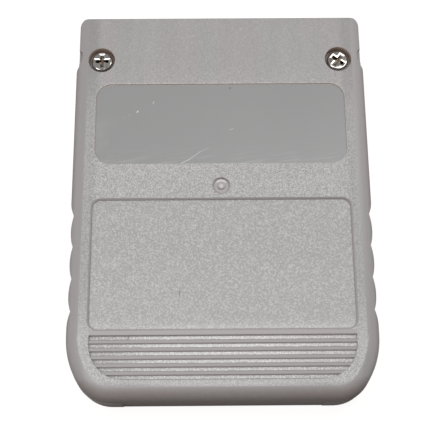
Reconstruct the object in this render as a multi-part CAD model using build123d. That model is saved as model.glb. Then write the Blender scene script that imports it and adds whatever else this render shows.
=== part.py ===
from build123d import *
import os

# Plug-in memory card, lying on its front face with the back up. Millimetres.
# +Y points to the contact end, +X to the right of the back, +Z up.
# The origin is the middle of the footprint, on the plane that the card rests on.

# Whole card
CARD_LENGTH = 55.7
CARD_WIDTH = 42.2
CARD_THICKNESS = 8.0
TAIL_CORNER_WIDTH = 6.15
TAIL_CORNER_LENGTH = 8.7
TAIL_CORNER_RADIUS = 5.0
CONTACT_CORNER_RADIUS = 1.2
REAR_EDGE_RADIUS = 2.05
FRONT_EDGE_RADIUS = 1.4
END_EDGE_BREAK = 0.12
MOUTH_EDGE_BREAK = 0.25
TOUCHING = 0.001

# Shell joint: the front shell stands a little proud of the rear one all round
PARTING_HEIGHT = 4.6
PARTING_LEDGE = 0.12
WALL = 1.8
REAR_SKIN = 1.4
FRONT_SKIN = 1.3
LIP_THICKNESS = 0.6
LIP_HEIGHT = 0.7
LIP_CLEARANCE = 0.15

# Contact end, narrower than the body
CONTACT_END_INSET = 0.5
CONTACT_END_LENGTH = 8.05
SHOULDER_RADIUS = 0.8
DETENT_SETBACK = 6.1
DETENT_RADIUS = 1.35
DETENT_OVERHANG = 0.8
DETENT_DROP = 1.0

# Finger grips: arcs that meet in shallow valleys down each side
VALLEY_DEPTH = 0.62
VALLEY_COUNT = 4
VALLEY_PITCH = 4.47
GRIP_TAIL_DISTANCE = 11.97
GRIP_ARC_RADIUS = 6.3
GRIP_END_RUN = 2.73

# Finger notch in the tail wall of the front shell
NOTCH_CORNER_GAP = 1.5
NOTCH_DEPTH = 0.2
NOTCH_SKIRT = 0.9

# Marks on the back
LABEL_SIDE_MARGIN = 3.35
LABEL_SETBACK = 10.75
LABEL_LENGTH = 12.2
LABEL_RADIUS = 2.2
LABEL_DEPTH = 0.15
GATE_GAP = 3.28
GATE_DIAMETER = 2.3
GATE_DEPTH = 0.22
GATE_NUB_DIAMETER = 1.0
GATE_NUB_HEIGHT = 0.14
PANEL_SIDE_MARGIN = 3.27
PANEL_LABEL_GAP = 5.25
PANEL_RIB_GAP = 0.8
PANEL_RADIUS = 1.2
PANEL_DEPTH = 0.35
PANEL_RIM_BREAK = 0.22
RIB_ZONE_SIDE_MARGIN = 3.4
RIB_ZONE_TAIL_MARGIN = 2.8
RIB_ZONE_RADIUS = 4.7
RIB_ZONE_DEPTH = 0.1
GROOVE_COUNT = 6
GROOVE_PITCH = 1.038
GROOVE_WIDTH = 0.66
GROOVE_DEPTH = 0.42
GROOVE_WALL_RUN = 0.15

# Sticker recess on the front
STICKER_SIDE_MARGIN = 4.6
STICKER_SETBACK = 7.85
STICKER_TAIL_MARGIN = 11.85
STICKER_RADIUS = 2.0
STICKER_DEPTH = 0.2
STICKER_RIM_BREAK = 0.08

# Screws and their posts
SCREW_SIDE_DISTANCE = 3.97
SCREW_SETBACK = 6.89
WELL_DIAMETER = 3.85
HEAD_DIAMETER = 3.06
HEAD_RECESS = 0.2
HEAD_HEIGHT = 0.95
HEAD_RIM_HEIGHT = 0.42
SHANK_DIAMETER = 1.7
SHANK_LENGTH = 5.1
SCREW_CLEARANCE = 0.3
PILOT_CLEARANCE = 0.15
POST_DIAMETER = 4.6
REAR_POST_DIAMETER = 5.2
CROSS_SPAN = 2.25
CROSS_CORE = 0.95
CROSS_SLOT_WIDTH = 0.56
CROSS_DEPTH = 0.8
CROSS_OVERCUT = 0.1
LEFT_CROSS_TURN = 0.0
RIGHT_CROSS_TURN = 52.0

# Contact mouth and the board in it
MOUTH_SIDE_DISTANCE = 6.9
MOUTH_DEPTH = 10.0
MOUTH_ROOF_SKIN = 1.1
MOUTH_WALL = 1.0
DIVIDER_THICKNESS = 1.2
DIVIDER_SETBACK = 0.8
DIVIDER_NOSE_BREAK = 0.35
SILL_DROP = 0.1
BOARD_THICKNESS = 1.0
BOARD_REST_HEIGHT = 0.3
BOARD_GAP = 0.2
BOARD_SIDE_GAP = 0.78
BOARD_LENGTH = 30.2
SHOULDER_GAP = 0.65
NECK_END_GAP = 0.25
BOARD_CORNER_BREAK = 0.6
BOARD_STANDOFF = 0.15
REST_RAIL_WIDTH = 1.2
REST_RAIL_INSET = 6.4
CLAMP_WIDTH = 1.6
CLAMP_LENGTH = 3.0
CLAMP_INSET = 1.6
CLAMP_TAIL_INSET = 2.2
CLAMP_SHOULDER_INSET = 2.8
KEY_LENGTH = 1.6
KEY_BITE = 0.9
KEY_CLEARANCE = 0.2
KEY_RISE = 0.5

# Contacts
CONTACT_COUNT = 8
CONTACT_SIDE_GAP = 1.095
CONTACT_WIDTH = 2.2
CONTACT_LENGTH = 7.0
CONTACT_SETBACK = 0.4
CONTACT_THICKNESS = 0.08

# Snap hooks at the tail
HOOK_X = 8.0
HOOK_WIDTH = 5.0
HOOK_THICKNESS = 1.0
HOOK_REACH = 2.4
HOOK_GAP = 0.15
BARB_DEPTH = 0.5
BARB_HEIGHT = 0.8

# Chip packages
CHIP_STANDOFF = 0.12
CHIP_DRAFT = 6.0
PIN_ONE_BEVEL = 0.4
LEAD_THICKNESS = 0.2
LEAD_WIDTH = 0.42
LEAD_PITCH = 1.27
LEAD_REACH = 1.4
LEAD_FOOT = 0.75
MEMORY_X = -6.9
MEMORY_SETBACK = 17.8
MEMORY_WIDTH = 11.0
MEMORY_LENGTH = 20.4
MEMORY_HEIGHT = 2.3
MEMORY_LEADS_PER_SIDE = 16
CONTROLLER_X = 8.6
CONTROLLER_SETBACK = 21.4
CONTROLLER_WIDTH = 7.5
CONTROLLER_LENGTH = 12.8
CONTROLLER_HEIGHT = 2.1
CONTROLLER_LEADS_PER_SIDE = 10
RESET_X = 11.6
RESET_SETBACK = 5.0
RESET_WIDTH = 1.3
RESET_LENGTH = 2.9
RESET_HEIGHT = 1.0
RESET_LEAD_PITCH = 1.9
RESET_LEAD_REACH = 0.6
RESET_LEAD_FOOT = 0.3

# Small parts on the board
RESONATOR_X = 8.6
RESONATOR_SETBACK = 10.0
RESONATOR_LENGTH = 7.2
RESONATOR_WIDTH = 3.0
RESONATOR_HEIGHT = 1.6
RESONATOR_BAND_WIDTH = 1.0
RESONATOR_BAND_GAP = 2.4
SUPPLY_CLAMP_GAP = 1.25
SUPPLY_SETBACK = 3.8
SUPPLY_LENGTH = 3.5
SUPPLY_WIDTH = 2.8
SUPPLY_HEIGHT = 1.9
SUPPLY_TAB_WIDTH = 2.1
CHIP_PART_LENGTH = 2.0
CHIP_PART_WIDTH = 1.25
CAPACITOR_HEIGHT = 0.85
RESISTOR_HEIGHT = 0.5
CAP_END_LENGTH = 0.45
CAP_END_SWELL = 0.05
BYPASS_COUNT = 3
BYPASS_SETBACK = 4.6
BYPASS_FIRST_X = -8.2
BYPASS_PITCH = 5.2
RESISTOR_COUNT = 5
RESISTOR_SETBACK = 2.0
RESISTOR_FIRST_CONTACT = 2

# Heights and places that follow from the sizes above
REAR_WIDTH = CARD_WIDTH - 2 * PARTING_LEDGE
CEILING = CARD_THICKNESS - REAR_SKIN
MOUTH_ROOF = CARD_THICKNESS - MOUTH_ROOF_SKIN
BOARD_BOTTOM = FRONT_SKIN + BOARD_REST_HEIGHT
BOARD_TOP = BOARD_BOTTOM + BOARD_THICKNESS
SILL_TOP = BOARD_TOP - SILL_DROP
CONTACT_END_Y = CARD_LENGTH / 2
TAIL_Y = -CARD_LENGTH / 2
INNER_LEDGE = PARTING_LEDGE + WALL
FLANK_RISE = TAIL_CORNER_LENGTH - TAIL_CORNER_RADIUS
FLANK_RUN = TAIL_CORNER_WIDTH - TAIL_CORNER_RADIUS
FLANK_RADIUS = (TAIL_CORNER_WIDTH**2 + FLANK_RISE**2 - TAIL_CORNER_RADIUS**2) / (2 * FLANK_RUN)
HEAD_SEAT = CARD_THICKNESS - HEAD_RECESS - HEAD_HEIGHT
CONTACT_STEP_Y = CONTACT_END_Y - CONTACT_END_LENGTH
DETENT_Y = CONTACT_END_Y - DETENT_SETBACK
SCREW_X = CARD_WIDTH / 2 - SCREW_SIDE_DISTANCE
SCREW_Y = CONTACT_END_Y - SCREW_SETBACK
FIRST_VALLEY_Y = TAIL_Y + GRIP_TAIL_DISTANCE + (VALLEY_COUNT - 1) * VALLEY_PITCH
NOTCH_WIDTH = CARD_WIDTH - 2 * (TAIL_CORNER_WIDTH + NOTCH_CORNER_GAP)

# Places of the marks
LABEL_WIDTH = CARD_WIDTH - 2 * LABEL_SIDE_MARGIN
LABEL_TOP_Y = CONTACT_END_Y - LABEL_SETBACK
LABEL_BOTTOM_Y = LABEL_TOP_Y - LABEL_LENGTH
GATE_Y = LABEL_BOTTOM_Y - GATE_GAP
RIB_ZONE_WIDTH = CARD_WIDTH - 2 * RIB_ZONE_SIDE_MARGIN
RIB_ZONE_BOTTOM_Y = TAIL_Y + RIB_ZONE_TAIL_MARGIN
RIB_ZONE_TOP_Y = RIB_ZONE_BOTTOM_Y + (GROOVE_COUNT - 1) * GROOVE_PITCH + GROOVE_WIDTH
PANEL_WIDTH = CARD_WIDTH - 2 * PANEL_SIDE_MARGIN
PANEL_TOP_Y = LABEL_BOTTOM_Y - PANEL_LABEL_GAP
PANEL_BOTTOM_Y = RIB_ZONE_TOP_Y + PANEL_RIB_GAP
STICKER_WIDTH = CARD_WIDTH - 2 * STICKER_SIDE_MARGIN
STICKER_TOP_Y = CONTACT_END_Y - STICKER_SETBACK
STICKER_BOTTOM_Y = TAIL_Y + STICKER_TAIL_MARGIN

# Places in the contact mouth and on the board
MOUTH_WIDTH = CARD_WIDTH - 2 * MOUTH_SIDE_DISTANCE
MOUTH_BACK_Y = CONTACT_END_Y - MOUTH_DEPTH
MOUTH_WALL_X = MOUTH_WIDTH / 2 + MOUTH_WALL / 2
CONTACT_PITCH = (MOUTH_WIDTH - 2 * CONTACT_SIDE_GAP - CONTACT_WIDTH) / (CONTACT_COUNT - 1)
DIVIDER_X = CONTACT_PITCH
BOARD_WIDTH = CARD_WIDTH - 2 * (INNER_LEDGE + BOARD_SIDE_GAP)
BOARD_NECK_WIDTH = MOUTH_WIDTH - 2 * BOARD_GAP
BOARD_SHOULDER_Y = MOUTH_BACK_Y - MOUTH_WALL - SHOULDER_GAP
BOARD_TAIL_Y = BOARD_SHOULDER_Y - BOARD_LENGTH
BOARD_NECK_END_Y = CONTACT_END_Y - WALL - NECK_END_GAP
REST_RAIL_X = BOARD_WIDTH / 2 - REST_RAIL_INSET
CLAMP_X = BOARD_WIDTH / 2 - CLAMP_INSET
CLAMP_TAIL_Y = BOARD_TAIL_Y + CLAMP_TAIL_INSET
CLAMP_SHOULDER_Y = BOARD_SHOULDER_Y - CLAMP_SHOULDER_INSET
KEY_Y = (BOARD_SHOULDER_Y + BOARD_TAIL_Y) / 2
MEMORY_Y = BOARD_SHOULDER_Y - MEMORY_SETBACK
CONTROLLER_Y = BOARD_SHOULDER_Y - CONTROLLER_SETBACK
RESET_Y = BOARD_SHOULDER_Y - RESET_SETBACK
RESONATOR_Y = BOARD_SHOULDER_Y - RESONATOR_SETBACK
SUPPLY_X = -(CLAMP_X - CLAMP_WIDTH / 2 - SUPPLY_CLAMP_GAP - SUPPLY_LENGTH / 2)
SUPPLY_Y = BOARD_SHOULDER_Y - SUPPLY_SETBACK
BYPASS_Y = BOARD_SHOULDER_Y - BYPASS_SETBACK
RESISTOR_Y = BOARD_SHOULDER_Y - RESISTOR_SETBACK


def block(width, length, height, x, y, z):
    """Box with its middle at x and y and its underside at z."""
    return Pos(x, y, z) * Box(width, length, height, align=(Align.CENTER, Align.CENTER, Align.MIN))


def post(diameter, bottom, top, x, y):
    """Upright round post between two heights."""
    rise = top - bottom
    return Pos(x, y, bottom) * Cylinder(diameter / 2, rise, align=(Align.CENTER, Align.CENTER, Align.MIN))


def prism(outline, bottom, top):
    """Plan outline drawn up from one height to another."""
    return extrude(Pos(0, 0, bottom) * outline, amount=top - bottom, dir=(0, 0, 1))


def plain_outline(inset):
    """Card's plan set in from the front shell's outline, with oval tail corners only."""
    side = CARD_WIDTH / 2 - inset
    end = CONTACT_END_Y - inset
    tail = TAIL_Y + inset
    flank_centre = Vector(CARD_WIDTH / 2 - FLANK_RADIUS, TAIL_Y + TAIL_CORNER_LENGTH)
    heel_centre = Vector(CARD_WIDTH / 2 - TAIL_CORNER_WIDTH, TAIL_Y + TAIL_CORNER_RADIUS)
    outward = (heel_centre - flank_centre).normalized()
    joint = heel_centre + outward * (TAIL_CORNER_RADIUS - inset)
    straight = Line((side, end), (side, flank_centre.Y))
    flank = TangentArc(straight @ 1, joint, tangent=straight % 1)
    heel = TangentArc(joint, (heel_centre.X, tail), tangent=flank % 1)
    right = [straight, flank, heel]
    left = [mirror(edge, Plane.YZ) for edge in right]
    ends = [Line((-side, end), (side, end)), Line((-heel_centre.X, tail), (heel_centre.X, tail))]
    return make_face(Curve() + right + left + ends)


def grip_bite(inset):
    """Region that the finger grips remove from the right side."""
    side = CARD_WIDTH / 2 - inset
    valley = side - VALLEY_DEPTH
    last_valley = FIRST_VALLEY_Y - (VALLEY_COUNT - 1) * VALLEY_PITCH
    top = FIRST_VALLEY_Y + GRIP_END_RUN
    bottom = last_valley - GRIP_END_RUN
    bite = Pos(side, (top + bottom) / 2) * Rectangle(2 * VALLEY_DEPTH, top - bottom)
    half_pitch = VALLEY_PITCH / 2
    bump_centre = valley - (GRIP_ARC_RADIUS**2 - half_pitch**2) ** 0.5
    for step in range(VALLEY_COUNT - 1):
        bump_y = FIRST_VALLEY_Y - half_pitch - step * VALLEY_PITCH
        bite -= Pos(bump_centre, bump_y) * Circle(GRIP_ARC_RADIUS)
    end_centre = valley - (GRIP_ARC_RADIUS**2 - GRIP_END_RUN**2) ** 0.5
    for end_y in (top, bottom):
        bite -= Pos(end_centre, end_y) * Circle(GRIP_ARC_RADIUS)
    return bite


def contact_end_bite(inset):
    """Region that narrows the right side at the contact end, with a sloped step."""
    narrow = CARD_WIDTH / 2 - inset - CONTACT_END_INSET
    beyond = narrow + 2 * CONTACT_END_INSET
    step_top = (narrow, CONTACT_STEP_Y + CONTACT_END_INSET)
    step_bottom = (beyond, CONTACT_STEP_Y - CONTACT_END_INSET)
    corners = [(narrow, CARD_LENGTH), step_top, step_bottom, (beyond, CARD_LENGTH)]
    return make_face(Polyline(*corners, close=True))


def worked_outline(inset):
    """Card's plan with the grips, the narrow contact end and its round corners and shoulders."""
    outline = plain_outline(inset)
    for bite in (grip_bite(inset), contact_end_bite(inset)):
        outline -= bite
        outline -= mirror(bite, Plane.YZ)
    step = (CONTACT_STEP_Y - TOUCHING, CONTACT_STEP_Y + TOUCHING)
    shoulders = outline.vertices().filter_by_position(Axis.Y, *step)
    outline = fillet(shoulders, SHOULDER_RADIUS)
    contact_corners = outline.vertices().group_by(Axis.Y)[-1]
    return fillet(contact_corners, CONTACT_CORNER_RADIUS)


def recess_outline(width, top_y, bottom_y, radius):
    """Rounded rectangle across the middle of a face."""
    return Pos(0, (top_y + bottom_y) / 2) * RectangleRounded(width, top_y - bottom_y, radius)


def rib_zone_outline():
    """Ribbed grip's plan: square at the top, with tail corners that follow the card's."""
    length = RIB_ZONE_TOP_Y - RIB_ZONE_BOTTOM_Y
    zone = Pos(0, (RIB_ZONE_TOP_Y + RIB_ZONE_BOTTOM_Y) / 2) * Rectangle(RIB_ZONE_WIDTH, length)
    return fillet(zone.vertices().group_by(Axis.Y)[0], RIB_ZONE_RADIUS)


def mouth_frame(bottom, top):
    """Side walls of the contact mouth between two heights."""
    length = MOUTH_DEPTH - WALL
    middle = MOUTH_BACK_Y + length / 2
    right = block(MOUTH_WALL, length, top - bottom, MOUTH_WALL_X, middle, bottom)
    return right + mirror(right, Plane.YZ)


def joint_lip(inset, thickness, bottom, top):
    """Band that follows the inner wall round the tail, short of the contact mouth."""
    band = prism(plain_outline(inset) - plain_outline(inset + thickness), bottom, top)
    room_y = MOUTH_BACK_Y - MOUTH_WALL - CARD_LENGTH / 2
    return band & block(CARD_WIDTH, CARD_LENGTH, top - bottom, 0, room_y, bottom)


def faces_at(solid, height):
    """Level faces of a solid at one height."""
    level = solid.faces().filter_by(Plane.XY)
    return level.filter_by_position(Axis.Z, height - TOUCHING, height + TOUCHING)


def rounded_blank(inset, bottom, top, face_height, edge_radius):
    """Solid half of the card, rounded along its outer face and trimmed to the worked plan."""
    blank = prism(plain_outline(inset), bottom, top)
    outer_face = faces_at(blank, face_height)[0]
    rim = outer_face.edges().sort_by(Axis.Y)[:-1]
    blank = fillet(rim, edge_radius)
    end_face = blank.faces().sort_by(Axis.Y)[-1]
    reach = edge_radius - TOUCHING
    end_rim = end_face.edges().filter_by_position(Axis.Z, face_height - reach, face_height + reach)
    blank = chamfer(end_rim, END_EDGE_BREAK)
    return blank & prism(worked_outline(inset), bottom, top)


def break_rim(shell, face_height, outline, size):
    """Break the sharp edge where a recess of this outline meets an outer face."""
    face = faces_at(shell, face_height).sort_by(SortBy.AREA)[-1]
    middle = outline.center()
    loops = face.inner_wires()
    loop = min(loops, key=lambda wire: abs(wire.center().Y - middle.Y))
    return chamfer(loop.edges(), size)


def rear_shell():
    """Moulded back half, with everything that is moulded into it."""
    shell = rounded_blank(PARTING_LEDGE, PARTING_HEIGHT, CARD_THICKNESS, CARD_THICKNESS, REAR_EDGE_RADIUS)
    shell -= prism(plain_outline(INNER_LEDGE), PARTING_HEIGHT, CEILING)

    # Walls, dividers and back of the contact mouth hang from the roof
    divider_length = MOUTH_DEPTH - DIVIDER_SETBACK
    divider_y = MOUTH_BACK_Y + divider_length / 2 - PARTING_LEDGE
    rib_bottom = BOARD_TOP + BOARD_STANDOFF
    mouth_middle = MOUTH_BACK_Y + MOUTH_DEPTH / 2
    mouth_rise = MOUTH_ROOF - PARTING_HEIGHT
    shell -= block(MOUTH_WIDTH, MOUTH_DEPTH, mouth_rise, 0, mouth_middle, PARTING_HEIGHT)
    shell += mouth_frame(PARTING_HEIGHT, CEILING)
    divider_rise = MOUTH_ROOF - rib_bottom
    divider = block(DIVIDER_THICKNESS, divider_length, divider_rise, DIVIDER_X, divider_y, rib_bottom)
    nose = divider.faces().sort_by(Axis.Y)[-1].edges().filter_by(Axis.Z)
    divider = chamfer(nose, DIVIDER_NOSE_BREAK)
    shell += divider
    shell += mirror(divider, Plane.YZ)
    back_width = MOUTH_WIDTH - 2 * BOARD_GAP
    back_y = MOUTH_BACK_Y - MOUTH_WALL / 2
    shell += block(back_width, MOUTH_WALL, CEILING - rib_bottom, 0, back_y, rib_bottom)
    frame_width = MOUTH_WIDTH + 2 * MOUTH_WALL
    shell += block(frame_width, MOUTH_WALL, CEILING - PARTING_HEIGHT, 0, back_y, PARTING_HEIGHT)

    # Joint lip, board clamps and snap hooks
    lip_inset = INNER_LEDGE - LIP_THICKNESS
    shell += joint_lip(lip_inset, LIP_THICKNESS, PARTING_HEIGHT - LIP_HEIGHT, PARTING_HEIGHT)
    clamp_rise = CEILING - BOARD_TOP
    for side in (-1, 1):
        for clamp_y in (CLAMP_TAIL_Y, CLAMP_SHOULDER_Y):
            shell += block(CLAMP_WIDTH, CLAMP_LENGTH, clamp_rise, side * CLAMP_X, clamp_y, BOARD_TOP)
    for side in (-1, 1):
        shell += snap_hook(side * HOOK_X)

    # Screw posts and wells
    for side in (-1, 1):
        shell += post(REAR_POST_DIAMETER, PARTING_HEIGHT, CEILING, side * SCREW_X, SCREW_Y)
    for side in (-1, 1):
        screw_x = side * SCREW_X
        shell -= post(WELL_DIAMETER, HEAD_SEAT, CARD_THICKNESS, screw_x, SCREW_Y)
        shell -= post(SHANK_DIAMETER + 2 * SCREW_CLEARANCE, PARTING_HEIGHT, HEAD_SEAT, screw_x, SCREW_Y)

    # Edge notches beside the screws
    notch_x = REAR_WIDTH / 2 - CONTACT_END_INSET + DETENT_OVERHANG
    notch_floor = CARD_THICKNESS - DETENT_DROP
    for side in (-1, 1):
        shell -= post(2 * DETENT_RADIUS, notch_floor, CARD_THICKNESS, side * notch_x, DETENT_Y)

    # Marks in the back face
    label = recess_outline(LABEL_WIDTH, LABEL_TOP_Y, LABEL_BOTTOM_Y, LABEL_RADIUS)
    shell -= prism(label, CARD_THICKNESS - LABEL_DEPTH, CARD_THICKNESS)
    panel = recess_outline(PANEL_WIDTH, PANEL_TOP_Y, PANEL_BOTTOM_Y, PANEL_RADIUS)
    shell -= prism(panel, CARD_THICKNESS - PANEL_DEPTH, CARD_THICKNESS)
    gate_floor = CARD_THICKNESS - GATE_DEPTH
    gate = Pos(0, GATE_Y) * Circle(GATE_DIAMETER / 2)
    shell -= prism(gate, gate_floor, CARD_THICKNESS)
    shell += post(GATE_NUB_DIAMETER, gate_floor, gate_floor + GATE_NUB_HEIGHT, 0, GATE_Y)
    shell -= ribbed_grip()
    shell = break_rim(shell, CARD_THICKNESS, panel, PANEL_RIM_BREAK)
    return break_mouth(shell, PARTING_LEDGE, PARTING_HEIGHT, MOUTH_ROOF)


def break_mouth(shell, inset, bottom, top):
    """Break the mouth's sharp edges at the contact end, between two heights."""
    end_y = CONTACT_END_Y - inset
    on_end = shell.edges().filter_by_position(Axis.Y, end_y - TOUCHING, end_y + TOUCHING)
    half_width = MOUTH_WIDTH / 2 + TOUCHING
    inside = on_end.filter_by_position(Axis.X, -half_width, half_width)
    return chamfer(inside.filter_by_position(Axis.Z, bottom - TOUCHING, top + TOUCHING), MOUTH_EDGE_BREAK)


def ribbed_grip():
    """Recess of the ribbed grip, with deeper slope-sided grooves between the ribs."""
    zone = rib_zone_outline()
    rib_top = CARD_THICKNESS - RIB_ZONE_DEPTH
    floor = CARD_THICKNESS - GROOVE_DEPTH
    recess = prism(zone, rib_top, CARD_THICKNESS)
    room = prism(zone, floor, CARD_THICKNESS)
    for index in range(GROOVE_COUNT):
        top_y = RIB_ZONE_TOP_Y - index * GROOVE_PITCH
        bottom_y = top_y - GROOVE_WIDTH
        section = Polyline(
            (top_y, rib_top),
            (top_y - GROOVE_WALL_RUN, floor),
            (bottom_y + GROOVE_WALL_RUN, floor),
            (bottom_y, rib_top),
            close=True,
        )
        groove = extrude(make_face(Plane.YZ * section), amount=RIB_ZONE_WIDTH / 2, both=True)
        recess += groove & room
    return recess


def hook_outer_y():
    """Outer face of the hooks, just inside the tail wall."""
    return TAIL_Y + INNER_LEDGE + HOOK_GAP


def snap_hook(x):
    """Hook that hangs from the back's ceiling, with a barb on its outer face."""
    outer = hook_outer_y()
    bottom = PARTING_HEIGHT - HOOK_REACH
    arm = block(HOOK_WIDTH, HOOK_THICKNESS, CEILING - bottom, x, outer + HOOK_THICKNESS / 2, bottom)
    tip = (outer - BARB_DEPTH, bottom + BARB_HEIGHT)
    barb_side = Polyline((outer, bottom), (outer, bottom + BARB_HEIGHT), tip, close=True)
    barb_face = Pos(x - HOOK_WIDTH / 2, 0, 0) * make_face(Plane.YZ * barb_side)
    barb = extrude(barb_face, amount=HOOK_WIDTH, dir=(1, 0, 0))
    return arm + barb


def front_shell():
    """Moulded front half, with the screw posts, board rests and lower half of the mouth."""
    shell = rounded_blank(0, 0, PARTING_HEIGHT, 0, FRONT_EDGE_RADIUS)
    shell -= prism(plain_outline(INNER_LEDGE), FRONT_SKIN, PARTING_HEIGHT)

    # Rebate for the joint lip, and windows for the snap hooks
    rebate_inset = INNER_LEDGE - LIP_THICKNESS - LIP_CLEARANCE
    rebate_bottom = PARTING_HEIGHT - LIP_HEIGHT - LIP_CLEARANCE
    shell -= joint_lip(rebate_inset, LIP_THICKNESS + LIP_CLEARANCE, rebate_bottom, PARTING_HEIGHT)
    window_bottom = PARTING_HEIGHT - HOOK_REACH - HOOK_GAP
    window_y = TAIL_Y + INNER_LEDGE - BARB_DEPTH / 2
    window_width = HOOK_WIDTH + 2 * HOOK_GAP
    window_height = BARB_HEIGHT + 2 * HOOK_GAP
    for side in (-1, 1):
        shell -= block(window_width, BARB_DEPTH, window_height, side * HOOK_X, window_y, window_bottom)

    # Finger notch in the tail wall
    notch = block(NOTCH_WIDTH, 2 * NOTCH_DEPTH, PARTING_HEIGHT, 0, TAIL_Y, NOTCH_SKIRT)
    shell -= notch

    # Land under the board's neck, walls of the mouth and its sill
    neck_length = MOUTH_DEPTH - WALL
    neck_middle = MOUTH_BACK_Y + neck_length / 2
    shell += block(MOUTH_WIDTH, neck_length, BOARD_REST_HEIGHT, 0, neck_middle, FRONT_SKIN)
    shell += mouth_frame(FRONT_SKIN, PARTING_HEIGHT)
    sill_middle = CONTACT_END_Y - WALL / 2 - PARTING_LEDGE
    sill_cut = block(MOUTH_WIDTH, WALL + 2 * PARTING_LEDGE, PARTING_HEIGHT, 0, sill_middle, SILL_TOP)
    shell -= sill_cut

    # Rests and keys for the board
    rail_length = BOARD_SHOULDER_Y - BOARD_TAIL_Y
    rail_middle = (BOARD_SHOULDER_Y + BOARD_TAIL_Y) / 2
    for side in (-1, 1):
        rail_x = side * REST_RAIL_X
        shell += block(REST_RAIL_WIDTH, rail_length, BOARD_REST_HEIGHT, rail_x, rail_middle, FRONT_SKIN)
        shell += board_key(side, KEY_BITE, KEY_LENGTH, FRONT_SKIN, BOARD_TOP + KEY_RISE)
        for rest_y in (CLAMP_TAIL_Y, CLAMP_SHOULDER_Y):
            shell += block(CLAMP_WIDTH, CLAMP_LENGTH, BOARD_REST_HEIGHT, side * CLAMP_X, rest_y, FRONT_SKIN)

    # Screw posts
    for side in (-1, 1):
        shell += post(POST_DIAMETER, FRONT_SKIN, PARTING_HEIGHT, side * SCREW_X, SCREW_Y)
    pilot_bottom = HEAD_SEAT - SHANK_LENGTH - PILOT_CLEARANCE
    pilot_diameter = SHANK_DIAMETER + 2 * PILOT_CLEARANCE
    for side in (-1, 1):
        shell -= post(pilot_diameter, pilot_bottom, PARTING_HEIGHT, side * SCREW_X, SCREW_Y)

    # Sticker recess in the front face
    sticker = recess_outline(STICKER_WIDTH, STICKER_TOP_Y, STICKER_BOTTOM_Y, STICKER_RADIUS)
    shell -= prism(sticker, 0, STICKER_DEPTH)
    shell = break_rim(shell, 0, sticker, STICKER_RIM_BREAK)
    return break_mouth(shell, 0, SILL_TOP, PARTING_HEIGHT)


def board_key(side, bite, length, bottom, top):
    """Upright block on a side wall that reaches into the board's edge."""
    wall_x = CARD_WIDTH / 2 - INNER_LEDGE
    tip_x = BOARD_WIDTH / 2 - bite
    return block(wall_x - tip_x, length, top - bottom, side * (wall_x + tip_x) / 2, KEY_Y, bottom)


def circuit_board():
    """Board with a neck that carries the contacts, and a notch in each side for a key."""
    main_length = BOARD_SHOULDER_Y - BOARD_TAIL_Y
    outline = Pos(0, (BOARD_SHOULDER_Y + BOARD_TAIL_Y) / 2) * Rectangle(BOARD_WIDTH, main_length)
    neck_length = BOARD_NECK_END_Y - BOARD_TAIL_Y
    outline += Pos(0, (BOARD_NECK_END_Y + BOARD_TAIL_Y) / 2) * Rectangle(BOARD_NECK_WIDTH, neck_length)
    ends = outline.vertices().group_by(Axis.Y)
    outline = chamfer(ends[0] + ends[-1], BOARD_CORNER_BREAK)
    board = prism(outline, BOARD_BOTTOM, BOARD_TOP)
    for side in (-1, 1):
        notch_length = KEY_LENGTH + 2 * KEY_CLEARANCE
        board -= board_key(side, KEY_BITE + KEY_CLEARANCE, notch_length, BOARD_BOTTOM, BOARD_TOP)
    return board


def contact_x(index):
    """Middle of one contact, counted from the left."""
    return (index - (CONTACT_COUNT - 1) / 2) * CONTACT_PITCH


def contact_pad(index):
    """One plated contact on the board's neck."""
    y = BOARD_NECK_END_Y - CONTACT_SETBACK - CONTACT_LENGTH / 2
    return block(CONTACT_WIDTH, CONTACT_LENGTH, CONTACT_THICKNESS, contact_x(index), y, BOARD_TOP)


def case_screws():
    """Two pan-head screws, each turned as it was left."""
    left = Pos(-SCREW_X, SCREW_Y, HEAD_SEAT) * Rot(0, 0, LEFT_CROSS_TURN) * screw()
    right = Pos(SCREW_X, SCREW_Y, HEAD_SEAT) * Rot(0, 0, RIGHT_CROSS_TURN) * screw()
    return [left, right]


def screw():
    """Pan-head screw with its seat at the origin and its shank pointing down."""
    head_radius = HEAD_DIAMETER / 2
    shank_radius = SHANK_DIAMETER / 2
    tip = -SHANK_LENGTH
    crown = TangentArc((0, HEAD_HEIGHT), (head_radius, HEAD_RIM_HEIGHT), tangent=(1, 0))
    below = Polyline(
        (0, HEAD_HEIGHT),
        (0, tip),
        (shank_radius, tip),
        (shank_radius, 0),
        (head_radius, 0),
        (head_radius, HEAD_RIM_HEIGHT),
    )
    half = Plane.XZ * make_face(Curve() + [crown, below])
    turned = revolve(half, Axis.Z)
    wing_top = HEAD_HEIGHT + CROSS_OVERCUT
    wing_bottom = HEAD_HEIGHT - CROSS_DEPTH
    half_span = CROSS_SPAN / 2
    half_core = CROSS_CORE / 2
    wing_side = Polyline(
        (-half_span, wing_top),
        (half_span, wing_top),
        (half_core, wing_bottom),
        (-half_core, wing_bottom),
        close=True,
    )
    wing = extrude(Plane.XZ * make_face(wing_side), amount=CROSS_SLOT_WIDTH / 2, both=True)
    recess = wing + Rot(0, 0, 90) * wing
    return turned - recess


def moulded_package(width, length, height, x, y):
    """Moulded package that stands just off the board, with drafted sides above and below its middle."""
    half = height / 2
    upper = extrude(Rectangle(width, length), amount=half, taper=CHIP_DRAFT)
    lower = extrude(Rectangle(width, length), amount=half, dir=(0, 0, -1), taper=CHIP_DRAFT)
    return Pos(x, y, BOARD_TOP + CHIP_STANDOFF + half) * (upper + lower)


def marked_package(width, length, height, x, y):
    """Moulded package with a bevel along the side of pin one."""
    package = moulded_package(width, length, height, x, y)
    top = package.faces().sort_by(Axis.Z)[-1]
    return chamfer(top.edges().sort_by(Axis.X)[0], PIN_ONE_BEVEL)


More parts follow.
